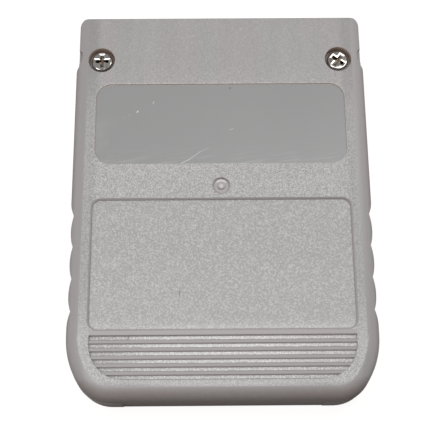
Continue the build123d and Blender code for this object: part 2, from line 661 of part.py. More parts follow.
def gull_lead(root_height, reach, foot):
    """One bent lead from the package's side at the origin, reaching out along +X to the board."""
    thick = LEAD_THICKNESS
    knee = reach - foot
    path = Polyline(
        (0, root_height + thick / 2),
        (knee, root_height + thick / 2),
        (knee, thick),
        (reach, thick),
        (reach, 0),
        (knee - thick, 0),
        (knee - thick, root_height - thick / 2),
        (0, root_height - thick / 2),
        close=True,
    )
    side = Plane.XZ * make_face(path)
    return extrude(side, amount=LEAD_WIDTH / 2, both=True)


def lead_row(width, place, count, pitch, lead, side):
    """Copies of one lead along a side of a package whose middle is at place."""
    facing = 0 if side > 0 else 180
    x, y = place
    leads = []
    for index in range(count):
        lead_y = y + (index - (count - 1) / 2) * pitch
        leads.append(Pos(x + side * width / 2, lead_y, BOARD_TOP) * Rot(0, 0, facing) * lead)
    return leads


def chip_leads(width, height, place, count):
    """Both lead rows of a two-sided package."""
    lead = gull_lead(CHIP_STANDOFF + height / 2, LEAD_REACH, LEAD_FOOT)
    left = lead_row(width, place, count, LEAD_PITCH, lead, -1)
    right = lead_row(width, place, count, LEAD_PITCH, lead, 1)
    return left + right


def reset_leads():
    """Two leads on one side of the supply monitor and one on the other."""
    lead = gull_lead(CHIP_STANDOFF + RESET_HEIGHT / 2, RESET_LEAD_REACH, RESET_LEAD_FOOT)
    place = (RESET_X, RESET_Y)
    pair = lead_row(RESET_WIDTH, place, 2, RESET_LEAD_PITCH, lead, -1)
    single = lead_row(RESET_WIDTH, place, 1, RESET_LEAD_PITCH, lead, 1)
    return pair + single


def chip_part(height, x, y):
    """Small chip component with metal end caps, lying along Y."""
    core = block(CHIP_PART_WIDTH, CHIP_PART_LENGTH, height, x, y, BOARD_TOP + CAP_END_SWELL)
    cap_y = (CHIP_PART_LENGTH - CAP_END_LENGTH) / 2 + CAP_END_SWELL
    cap_width = CHIP_PART_WIDTH + 2 * CAP_END_SWELL
    cap_height = height + 2 * CAP_END_SWELL
    for end in (-1, 1):
        core += block(cap_width, CAP_END_LENGTH, cap_height, x, y + end * cap_y, BOARD_TOP)
    return core


def resonator():
    """Ceramic resonator: a block with three plated bands."""
    body_bottom = BOARD_TOP + CAP_END_SWELL
    part = block(RESONATOR_LENGTH, RESONATOR_WIDTH, RESONATOR_HEIGHT, RESONATOR_X, RESONATOR_Y, body_bottom)
    band_width = RESONATOR_WIDTH + 2 * CAP_END_SWELL
    band_height = RESONATOR_HEIGHT / 2
    for step in (-1, 0, 1):
        band_x = RESONATOR_X + step * RESONATOR_BAND_GAP
        part += block(RESONATOR_BAND_WIDTH, band_width, band_height, band_x, RESONATOR_Y, BOARD_TOP)
    return part


def supply_capacitor():
    """Moulded reservoir capacitor with drafted sides and folded end tabs."""
    part = moulded_package(SUPPLY_LENGTH, SUPPLY_WIDTH, SUPPLY_HEIGHT, SUPPLY_X, SUPPLY_Y)
    tab_height = CHIP_STANDOFF + SUPPLY_HEIGHT / 2
    for end in (-1, 1):
        tab_x = SUPPLY_X + end * (SUPPLY_LENGTH - LEAD_THICKNESS) / 2
        part += block(2 * LEAD_THICKNESS, SUPPLY_TAB_WIDTH, tab_height, tab_x, SUPPLY_Y, BOARD_TOP)
    return part


def save(name, solids):
    """Write one node as one STEP file."""
    export_step(Compound(children=list(solids), label=name), f"parts/{name}.step")


os.makedirs("parts", exist_ok=True)
save("rear_shell", [rear_shell()])
save("front_shell", [front_shell()])
save("circuit_board", [circuit_board()])
save("case_screws", case_screws())
for number in range(CONTACT_COUNT):
    save(f"contact_pad_{number + 1}", [contact_pad(number)])
save("memory_chip", [marked_package(MEMORY_WIDTH, MEMORY_LENGTH, MEMORY_HEIGHT, MEMORY_X, MEMORY_Y)])
memory_leads = chip_leads(MEMORY_WIDTH, MEMORY_HEIGHT, (MEMORY_X, MEMORY_Y), MEMORY_LEADS_PER_SIDE)
save("memory_chip_leads", memory_leads)
controller = marked_package(
    CONTROLLER_WIDTH, CONTROLLER_LENGTH, CONTROLLER_HEIGHT, CONTROLLER_X, CONTROLLER_Y
)
save("controller_chip", [controller])
controller_leads = chip_leads(
    CONTROLLER_WIDTH, CONTROLLER_HEIGHT, (CONTROLLER_X, CONTROLLER_Y), CONTROLLER_LEADS_PER_SIDE
)
save("controller_chip_leads", controller_leads)
save("reset_chip", [moulded_package(RESET_WIDTH, RESET_LENGTH, RESET_HEIGHT, RESET_X, RESET_Y)])
save("reset_chip_leads", reset_leads())
save("resonator", [resonator()])
save("supply_capacitor", [supply_capacitor()])
for number in range(BYPASS_COUNT):
    bypass_x = BYPASS_FIRST_X + number * BYPASS_PITCH
    save(f"bypass_capacitor_{number + 1}", [chip_part(CAPACITOR_HEIGHT, bypass_x, BYPASS_Y)])
for number in range(RESISTOR_COUNT):
    resistor_x = contact_x(RESISTOR_FIRST_CONTACT + number)
    save(f"line_resistor_{number + 1}", [chip_part(RESISTOR_HEIGHT, resistor_x, RESISTOR_Y)])
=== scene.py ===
"""Plug-in memory card, seen from its back: finishes, modelled pieces, camera and studio."""

import logging
import math
from abc import ABC, abstractmethod
from dataclasses import dataclass
from enum import Enum
from functools import reduce
from typing import Callable

import bpy
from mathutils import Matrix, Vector


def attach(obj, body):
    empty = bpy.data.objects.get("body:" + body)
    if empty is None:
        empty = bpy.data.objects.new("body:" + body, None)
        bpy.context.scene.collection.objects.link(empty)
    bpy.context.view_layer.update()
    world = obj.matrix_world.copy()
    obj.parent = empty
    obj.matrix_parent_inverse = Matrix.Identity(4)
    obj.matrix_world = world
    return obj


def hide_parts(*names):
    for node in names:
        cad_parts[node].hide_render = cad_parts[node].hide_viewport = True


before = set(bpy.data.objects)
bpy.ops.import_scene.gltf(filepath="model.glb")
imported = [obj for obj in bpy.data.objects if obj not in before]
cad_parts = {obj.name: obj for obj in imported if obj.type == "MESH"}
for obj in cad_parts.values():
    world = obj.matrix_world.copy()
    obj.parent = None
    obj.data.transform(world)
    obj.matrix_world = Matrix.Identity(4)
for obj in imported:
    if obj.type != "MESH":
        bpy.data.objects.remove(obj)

MM = 0.001
BODY = "root"
LOG = logging.getLogger("memory_card")

Colour = tuple[float, float, float]
Point = tuple[float, float]
Span = tuple[float, float]
Place = tuple[float, float, float]

BLACK: Colour = (0.0, 0.0, 0.0)
WHITE: Colour = (1.0, 1.0, 1.0)
EVEN: Place = (1.0, 1.0, 1.0)
GRAIN_STEP: Span = (0.28, 0.72)


class Wire:
    """A shader value whose arithmetic adds Math nodes."""

    def __init__(self, shader: "Sheet", socket: bpy.types.NodeSocket) -> None:
        """Keep the socket and the shader that it belongs to."""
        self.shader = shader
        self.socket = socket

    def math(self, operation: str, *others: "Wire | float") -> "Wire":
        """Add a Math node that starts from this value.

        Args:
            operation: Name of the node's operation.
            others: The operation's other values.

        Returns:
            The node's result.
        """
        values = dict(enumerate((self, *others)))
        return self.shader.add("ShaderNodeMath", {"operation": operation}, values)

    def other(self, output: str) -> "Wire":
        """Another output of the node that this value comes from."""
        return Wire(self.shader, self.socket.node.outputs[output])

    def __add__(self, other: "Wire | float") -> "Wire":
        """Sum."""
        return self.math("ADD", other)

    __radd__ = __add__

    def __mul__(self, other: "Wire | float") -> "Wire":
        """Product."""
        return self.math("MULTIPLY", other)

    __rmul__ = __mul__

    def __sub__(self, other: "Wire | float") -> "Wire":
        """Difference."""
        return self.math("SUBTRACT", other)

    def __rsub__(self, other: float) -> "Wire":
        """Difference from a number."""
        return self * -1.0 + other

    def __truediv__(self, other: "Wire | float") -> "Wire":
        """Quotient."""
        return self.math("DIVIDE", other)

    def __pow__(self, other: float) -> "Wire":
        """Power."""
        return self.math("POWER", other)

    def __abs__(self) -> "Wire":
        """Size without its sign."""
        return self.math("ABSOLUTE")

    def most(self, other: "Wire | float") -> "Wire":
        """The larger of two values."""
        return self.math("MAXIMUM", other)

    def least(self, other: "Wire | float") -> "Wire":
        """The smaller of two values."""
        return self.math("MINIMUM", other)

    def rise(self, start: float, end: float) -> "Wire":
        """Smooth step from 0 at start up to 1 at end.

        Args:
            start: Value at which the step begins.
            end: Value at which the step is complete.

        Returns:
            The stepped value.
        """
        settings = {"interpolation_type": "SMOOTHSTEP"}
        return self.shader.add("ShaderNodeMapRange", settings, {0: self, 1: start, 2: end})

    def fall(self, start: float, end: float) -> "Wire":
        """Smooth step from 1 at start down to 0 at end."""
        return 1 - self.rise(start, end)

    def between(self, low: float, high: float) -> "Wire":
        """A value from 0 to 1, stretched to run from low to high."""
        return self * (high - low) + low

    def reach(self, other: "Wire") -> "Wire":
        """Length of the run that has these two legs."""
        return (self ** 2 + other ** 2).math("SQRT")


class Sheet:
    """Node sheet of a finish or of the room."""

    def __init__(self, tree: bpy.types.NodeTree) -> None:
        """Keep the node tree that the sheet fills."""
        self.tree = tree

    def add(
        self, kind: str, settings: dict[str, object], sockets: dict[int | str, object], output: int | str = 0
    ) -> Wire:
        """Add one node.

        Args:
            kind: The node's type.
            settings: The node's own settings, set before its sockets.
            sockets: Values or wires for its inputs, by name or number.
            output: Name or number of the output that is wanted.

        Returns:
            That output.
        """
        node = self.tree.nodes.new(kind)
        for setting, value in settings.items():
            setattr(node, setting, value)
        for socket, value in sockets.items():
            if isinstance(value, Wire):
                self.tree.links.new(value.socket, node.inputs[socket])
            else:
                node.inputs[socket].default_value = value
        return Wire(self, node.outputs[output])

    def blend(self, amount: "Wire | float", first: "Wire | Colour", second: "Wire | Colour") -> Wire:
        """Mix two colours.

        Args:
            amount: Share of the second colour.
            first: Colour at 0.
            second: Colour at 1.

        Returns:
            The mixed colour.
        """
        ends = [end if isinstance(end, Wire) else (*end, 1.0) for end in (first, second)]
        sockets = {0: amount, 6: ends[0], 7: ends[1]}
        return self.add("ShaderNodeMix", {"data_type": "RGBA"}, sockets, 2)

    def brighten(self, colour: "Wire | Colour", amount: Wire) -> Wire:
        """A colour times a value."""
        return self.add("ShaderNodeVectorMath", {"operation": "SCALE"}, {0: colour, "Scale": amount})

    def seen(self, in_gloss: float) -> Wire:
        """Share of white that each kind of ray meets.

        Args:
            in_gloss: Share for rays that come off shiny surfaces.

        Returns:
            1 for the camera and through clear pieces, the share for shiny ones, 0 for the rest.
        """
        camera = self.add("ShaderNodeLightPath", {}, {}, "Is Camera Ray")
        gloss = camera.other("Is Glossy Ray") * in_gloss
        return camera.most(camera.other("Is Transmission Ray")).most(gloss)


class Shader(Sheet):
    """Node sheet of one finish, with a Principled surface at its end."""

    def __init__(self, name: str, constants: dict[str, object]) -> None:
        """Start a material.

        Args:
            name: The material's name.
            constants: Values of the surface's sockets that are the same all over.
        """
        self.material = bpy.data.materials.new(name)
        self.material.use_nodes = True
        super().__init__(self.material.node_tree)
        self.surface = self.tree.nodes["Principled BSDF"]
        for socket, value in constants.items():
            self.surface.inputs[socket].default_value = value
        metres = self.add("ShaderNodeTexCoord", {}, {}, "Object")
        scale = {"operation": "SCALE"}
        self.place = self.add("ShaderNodeVectorMath", scale, {0: metres, "Scale": 1 / MM})
        self.x = self.add("ShaderNodeSeparateXYZ", {}, {0: self.place}, "X")
        self.y = self.x.other("Y")
        self.z = self.x.other("Z")

    def noise(
        self, per_mm: float, detail: float = 2.0, stretch: Place = EVEN, turn: float = 0.0
    ) -> Wire:
        """Cloudy noise.

        Args:
            per_mm: Features in a millimetre.
            detail: Octaves.
            stretch: Factor on each axis, to draw the pattern out.
            turn: Turn of the pattern about z, in degrees.

        Returns:
            Noise from 0 to 1, around 0.5.
        """
        place = self.place
        if turn:
            turned = {"Vector": place, "Rotation": (0.0, 0.0, math.radians(turn))}
            place = self.add("ShaderNodeMapping", {"vector_type": "TEXTURE"}, turned)
        if stretch != EVEN:
            place = self.add("ShaderNodeVectorMath", {"operation": "MULTIPLY"}, {0: place, 1: stretch})
        sockets = {"Vector": place, "Scale": per_mm, "Detail": detail}
        return self.add("ShaderNodeTexNoise", {}, sockets, "Fac")

    def grain(self, per_mm: float) -> Wire:
        """Strong fine noise with this many grains in a millimetre, from 0 to 1."""
        return self.noise(per_mm, 1.0).rise(*GRAIN_STEP)

    def feed(self, socket: str, value: Wire) -> None:
        """Link a varying value to the surface."""
        self.tree.links.new(value.socket, self.surface.inputs[socket])

    def bump(self, height: Wire) -> None:
        """Link a height in millimetres to the surface's normal."""
        sockets = {"Height": height, "Distance": MM, "Strength": 1.0}
        self.feed("Normal", self.add("ShaderNodeBump", {}, sockets))

    def facing(self) -> tuple[Wire, Wire]:
        """Work out which way the surface faces.

        Returns:
            Share of x and share of y in the surface's direction.
        """
        normal = self.add("ShaderNodeNewGeometry", {}, {}, "Normal")
        x = self.add("ShaderNodeSeparateXYZ", {}, {0: normal}, "X")
        return x, x.other("Y")

    def tilt(self) -> Wire:
        """How far the surface leans from level: 0 for level, 1 for upright."""
        x, y = self.facing()
        return x.reach(y)


class Finish(ABC):
    """Finish of one kind of piece."""

    @abstractmethod
    def sheet(self) -> tuple[Shader, Wire]:
        """Fill the finish's sheet and work out its colour."""

    def make(self) -> bpy.types.Material:
        """Build the finish.

        Returns:
            The material.
        """
        shader, colour = self.sheet()
        shader.feed("Base Color", colour)
        return shader.material


@dataclass(frozen=True)
class Fade:
    """Smooth change between two values, and how much it amounts to."""

    start: float
    end: float
    amount: float = 1.0

    def scaled(self, change: Wire) -> Wire:
        """The change times the amount, where that isn't 1."""
        return change if self.amount == 1.0 else change * self.amount

    def rise(self, value: Wire) -> Wire:
        """Change from 0 at the start up to the amount at the end."""
        return self.scaled(value.rise(self.start, self.end))

    def fall(self, value: Wire) -> Wire:
        """Change from the amount at the start down to 0 at the end."""
        return self.scaled(value.fall(self.start, self.end))


@dataclass(frozen=True)
class Patch:
    """Rounded rectangle on the back, in millimetres."""

    width: float
    top: float
    bottom: float
    radius: float

    def distance(self, shader: Shader) -> Wire:
        """Distance outside the patch's outline, negative inside.

        Args:
            shader: Sheet on which the distance is worked out.

        Returns:
            The distance in millimetres.
        """
        middle, half = (self.top + self.bottom) / 2, (self.top - self.bottom) / 2
        across = abs(shader.x) - (self.width / 2 - self.radius)
        along = abs(shader.y - middle) - (half - self.radius)
        corner = across.most(0.0).reach(along.most(0.0))
        return corner + across.most(along).least(0.0) - self.radius


class Mark(Enum):
    """How a wear mark shows."""

    PALE = "pale"
    DARK = "dark"


@dataclass(frozen=True)
class Scratch:
    """Fine straight mark on the back, in millimetres."""

    start: Point
    end: Point
    width: float
    strength: float
    mark: Mark
    core: float = 0.3

    def mask(self, shader: Shader) -> Wire:
        """Share of the mark at each place.

        Args:
            shader: Sheet on which the mark is worked out.

        Returns:
            The mark's strength along its line and 0 elsewhere.
        """
        run = Vector(self.end) - Vector(self.start)
        from_x = shader.x - self.start[0]
        from_y = shader.y - self.start[1]
        along = (from_x * run.x + from_y * run.y) / run.length_squared
        along = along.most(0.0).least(1.0)
        off = (from_x - along * run.x).reach(from_y - along * run.y)
        return off.fall(self.core * self.width, self.width) * self.strength


@dataclass(frozen=True)
class Zones:
    """Masks of the case's surfaces, each from 0 to 1."""

    face: Wire
    label: Wire
    panel: Wire
    rib: Wire
    groove: Wire
    tail_wall: Wire
    contact_wall: Wire
    well: Wire
    upper: Wire


@dataclass(frozen=True)
class BackLayout:
    """Places of the marks in the back, as the card is built, and how its surfaces meet, in millimetres."""

    label: Patch = Patch(35.5, 17.1, 4.9, 2.2)
    panel: Patch = Patch(35.66, -0.35, -18.4, 1.2)
    ribs: Patch = Patch(35.4, 0.0, -25.05, 4.7)
    rib_zone_top: float = -19.2
    screw: Point = (17.13, 20.96)
    notch: Point = (21.28, 21.75)
    gate: Point = (0.0, 1.62)
    gate_radius: float = 1.15
    nub_radius: float = 0.5
    face_heights: Fade = Fade(7.93, 7.96)
    front_heights: Fade = Fade(0.03, 0.06)
    upper_heights: Fade = Fade(7.0, 7.1)
    rib_heights: Fade = Fade(7.82, 7.86)
    groove_heights: Fade = Fade(7.61, 7.65)
    well_rim: Fade = Fade(1.975, 2.045)
    well_foot: Fade = Fade(6.0, 6.1)
    well_mouth: Fade = Fade(7.96, 8.0)
    outline: Fade = Fade(-0.02, 0.04)
    panel_outline: Fade = Fade(-0.05, 0.0)
    strip_upper: Fade = Fade(-18.62, -18.52)
    strip_lower: Fade = Fade(-19.3, -19.2)
    strip_ends: Fade = Fade(17.5, 17.9, 0.9)
    level: Fade = Fade(0.04, 0.17)
    ragged_per_mm: float = 3.0
    ragged: float = 0.10
    wall_lean: float = 0.3

    def rib_zone(self, shader: Shader) -> Wire:
        """Distance outside the ribbed grip, which is square at its upper end."""
        return self.ribs.distance(shader).most(shader.y - self.rib_zone_top)

    def from_screw(self, shader: Shader) -> Wire:
        """Distance from the nearer screw's axis."""
        return (abs(shader.x) - self.screw[0]).reach(shader.y - self.screw[1])

    def from_notch(self, shader: Shader) -> Wire:
        """Distance from the axis of the nearer notch in the sides."""
        return (abs(shader.x) - self.notch[0]).reach(shader.y - self.notch[1])

    def from_gate(self, shader: Shader) -> Wire:
        """Distance from the middle of the gate mark."""
        return (shader.x - self.gate[0]).reach(shader.y - self.gate[1])

    def zones(self, shader: Shader) -> Zones:
        """Work out where each kind of surface lies.

        Args:
            shader: Sheet on which the masks are worked out.

        Returns:
            The masks.
        """
        y, z = shader.y, shader.z
        ragged = (shader.noise(self.ragged_per_mm, 1.0) - 0.5) * self.ragged
        level = self.level.fall(shader.tilt() + ragged)
        faces_y = shader.facing()[1]
        upper = self.upper_heights.rise(z)
        below = upper * self.face_heights.fall(z)
        strip = self.strip_upper.fall(y) * self.strip_lower.rise(y) * self.strip_ends.fall(abs(shader.x))
        outside = self.face_heights.rise(z).most(self.front_heights.fall(z))
        in_ribs = self.outline.fall(self.rib_zone(shader)) * below
        deep = self.groove_heights.fall(z)
        top = self.rib_heights.rise(z)
        wall = in_ribs * (1 - deep) * (1 - top)
        well = self.well_rim.fall(self.from_screw(shader))
        return Zones(
            face=outside * level * (1 - strip),
            label=self.outline.fall(self.label.distance(shader)) * below,
            panel=self.panel_outline.fall(self.panel.distance(shader)) * below,
            rib=in_ribs * top,
            groove=in_ribs * deep,
            tail_wall=wall * faces_y.fall(-self.wall_lean, 0.0),
            contact_wall=wall * faces_y.rise(0.0, self.wall_lean),
            well=well * self.well_foot.rise(z) * self.well_mouth.fall(z),
            upper=upper,
        )


@dataclass(frozen=True)
class Grain:
    """Spark grain: fine on the face and faint at the contact end, coarser in the panel and the grooves, with
    sparse pale specks of painted sparkle near the contact end.
    """

    face_per_mm: float = 6.8
    panel_per_mm: float = 4.9
    sparse_per_mm: float = 5.2
    face_contrast: float = 0.72
    panel_contrast: float = 0.48
    groove_contrast: float = 0.75
    panel_power: float = 1.5
    panel_middle: float = 0.42
    height: float = 0.03
    sides: Fade = Fade(17.4, 18.8)
    side_share: float = 0.6
    tail: Fade = Fade(-26.5, -24.0)
    tail_share: float = 0.5
    contact_end: Fade = Fade(8.0, 22.0)
    contact_share: float = 0.25
    sparse_painted_sparkle: Fade = Fade(0.61, 0.72, 0.22)
    sparse_from: Fade = Fade(6.0, 16.0)

    def lay(self, shader: Shader, zone: Zones) -> tuple[Wire, Wire]:
        """Lay the grain.

        Args:
            shader: The finish's sheet.
            zone: Masks of the surfaces.

        Returns:
            Change of tone, and height in millimetres.
        """
        fine = shader.grain(self.face_per_mm) - 0.5
        coarse = shader.grain(self.panel_per_mm) ** self.panel_power - self.panel_middle
        calm = self.sides.fall(abs(shader.x)).between(self.side_share, 1.0)
        calm = calm * self.tail.rise(shader.y).between(self.tail_share, 1.0)
        on_face = fine * zone.face * self.contact_end.fall(shader.y).between(self.contact_share, 1.0) * calm
        # Sparse pale specks near the contact end: painted sparkle, standing in for glints off the grain.
        sparse = self.sparse_painted_sparkle.rise(shader.noise(self.sparse_per_mm, 1.0))
        tone = on_face * self.face_contrast + sparse * zone.face * self.sparse_from.rise(shader.y)
        tone = tone + coarse * (zone.panel * self.panel_contrast + zone.groove * self.groove_contrast)
        return tone, (on_face + coarse * zone.panel.most(zone.groove)) * self.height


@dataclass(frozen=True)
class PaintedLightAndWear:
    """How light each surface of the case is against its plain colour: painted light and shade, with flow
    streaks and scuffs of wear.
    """

    # Painted light: the face grows lighter towards the tail, as the light falls.
    contact_end: Fade = Fade(8.0, 22.0, 0.22)
    tail_half_painted_light: Fade = Fade(-25.0, -10.0, 0.15)
    label_end: Fade = Fade(12.0, 20.0, 0.03)
    side_rims: Fade = Fade(17.0, 18.2, 0.16)
    side_rims_from: Fade = Fade(-22.0, -12.0)
    lower_corners: Fade = Fade(4.0, 14.0, 0.22)
    left_corner: Fade = Fade(-14.0, -6.0, 0.06)
    below_ribs: Fade = Fade(-25.9, -25.1)
    below_ribs_gain: float = 0.08
    tail_edge: Fade = Fade(-25.95, -25.45, 0.10)
    flow_per_mm: float = 0.35
    flow_stretch: Place = (1.0, 0.12, 1.0)
    flow: Fade = Fade(0.4, 0.7, 0.05)
    flow_from: Fade = Fade(16.0, 24.0)
    panel_painted_highlight: float = 0.18
    panel_foot: Fade = Fade(-18.2, -16.6, 0.11)
    panel_slope: Fade = Fade(-16.0, -5.0, 0.075)
    panel_edge: Fade = Fade(-18.3, -17.6, 0.17)
    panel_edge_from: Fade = Fade(-14.0, -7.0)
    label_painted_shade: float = 0.16
    label_right: Fade = Fade(2.0, 12.0, 0.035)
    scuff_per_mm: float = 1.3
    scuff_stretch: Place = (0.16, 2.0, 1.0)
    scuff_turn: float = 9.0
    scuffs: Fade = Fade(0.46, 0.74, 0.15)
    scuffs_below: Fade = Fade(4.9, 8.0)
    haze_per_mm: float = 0.5
    haze: Fade = Fade(0.35, 0.7, 0.10)
    haze_left: Fade = Fade(-17.8, -14.0)
    haze_below: Fade = Fade(9.0, 14.5)
    wear_detail: float = 3.0
    bands: Fade = Fade(17.9, 18.6)
    band_painted_light_by_lean: Fade = Fade(0.2, 0.8, 0.18)
    band_painted_shade: float = 0.08
    left_band_painted_shade: Fade = Fade(-18.6, -17.9, 0.035)
    groove_painted_highlight: float = 0.56
    groove_highlight_slope: Fade = Fade(-25.5, -20.5, 0.36)
    groove_ends: Fade = Fade(5.0, 17.0, 0.28)
    groove_left: Fade = Fade(-17.0, -8.0, 0.34)
    rib_painted_shade: float = 0.09
    tail_wall_painted_light: float = 0.4
    contact_wall_painted_shade: float = 0.05

    def face(self, shader: Shader) -> Wire:
        """Gain on the grained face: painted light, lighter towards the tail and a little darker at the
        contact end; darker near the sides, the lower corners and the tail edge; and flow streaks near the
        contact end.

        Args:
            shader: The finish's sheet.

        Returns:
            The gain.
        """
        across, x, y = abs(shader.x), shader.x, shader.y
        # Painted light: lighter towards the tail, a little darker at the contact end.
        gain = self.contact_end.fall(y) + self.tail_half_painted_light.fall(y) - self.label_end.rise(y)
        gain = gain - self.side_rims.rise(across) * self.side_rims_from.rise(y)
        corners = self.lower_corners.rise(across) + self.left_corner.fall(x) - self.below_ribs_gain
        gain = gain - self.below_ribs.fall(y) * corners - self.tail_edge.fall(y)
        flow = self.flow.rise(shader.noise(self.flow_per_mm, 1.0, self.flow_stretch))
        return gain + flow * self.flow_from.rise(y)

    def panel(self, shader: Shader) -> Wire:
        """Painted highlight in the sunk panel, most along its foot and its lower edge.

        Args:
            shader: The finish's sheet.

        Returns:
            The gain.
        """
        # Painted highlight, brighter towards the foot and along the lower edge.
        foot = self.panel_foot.fall(shader.y) + self.panel_slope.fall(shader.y)
        edge = self.panel_edge.fall(shader.y) * self.panel_edge_from.rise(shader.x)
        return foot + edge + self.panel_painted_highlight

    def label(self, shader: Shader) -> Wire:
        """Painted shade in the smooth label recess, less where it is scuffed below and hazy at the left, and
        darker towards the right.

        Args:
            shader: The finish's sheet.

        Returns:
            The gain, below 0.
        """
        x, y = shader.x, shader.y
        scuffs = shader.noise(self.scuff_per_mm, self.wear_detail, self.scuff_stretch, self.scuff_turn)
        scuffs = self.scuffs.rise(scuffs) * self.scuffs_below.fall(y)
        haze = self.haze.rise(shader.noise(self.haze_per_mm, self.wear_detail))
        haze = haze * self.haze_left.fall(x) * self.haze_below.fall(y)
        # Scuffs and haze are wear; the steady loss is painted shade.
        return scuffs + haze - self.label_right.rise(x) - self.label_painted_shade

    def sides(self, shader: Shader) -> Wire:
        """Painted light and shade on the rounded sides: darker near the face, lighter where they lean
        further over, and darker on the left.

        Args:
            shader: The finish's sheet.

        Returns:
            The gain.
        """
        # Painted shade and light, by how far each side leans.
        lean = self.band_painted_light_by_lean.rise(abs(shader.facing()[0])) - self.band_painted_shade
        return self.bands.rise(abs(shader.x)) * lean - self.left_band_painted_shade.fall(shader.x)

    def groove(self, shader: Shader) -> Wire:
        """Painted highlight on the floors of the grooves, fading towards the tail, less at their ends and on
        the left.

        Args:
            shader: The finish's sheet.

        Returns:
            The gain.
        """
        # Painted highlight on the groove floors.
        ends = self.groove_ends.rise(abs(shader.x)) + self.groove_left.fall(shader.x)
        return (self.groove_highlight_slope.rise(shader.y) + self.groove_painted_highlight) * (1 - ends)

    def factor(self, shader: Shader, zone: Zones) -> Wire:
        """Put the surfaces' painted light and shade, and their wear, together.

        Args:
            shader: The finish's sheet.
            zone: Masks of the surfaces.

        Returns:
            Factor on the colour.
        """
        outer = zone.face * self.face(shader) + (1 - zone.face) * self.sides(shader)
        sunk = zone.panel * self.panel(shader) + zone.label * self.label(shader)
        # Painted shade on the smooth rib tops.
        grip = zone.groove * self.groove(shader) - zone.rib * self.rib_painted_shade
        # Painted light on the groove walls that face the tail, painted shade on those that face the contact
        # end.
        walls = zone.tail_wall * self.tail_wall_painted_light - zone.contact_wall * self.contact_wall_painted_shade
        return 1.0 + outer + sunk + grip + walls


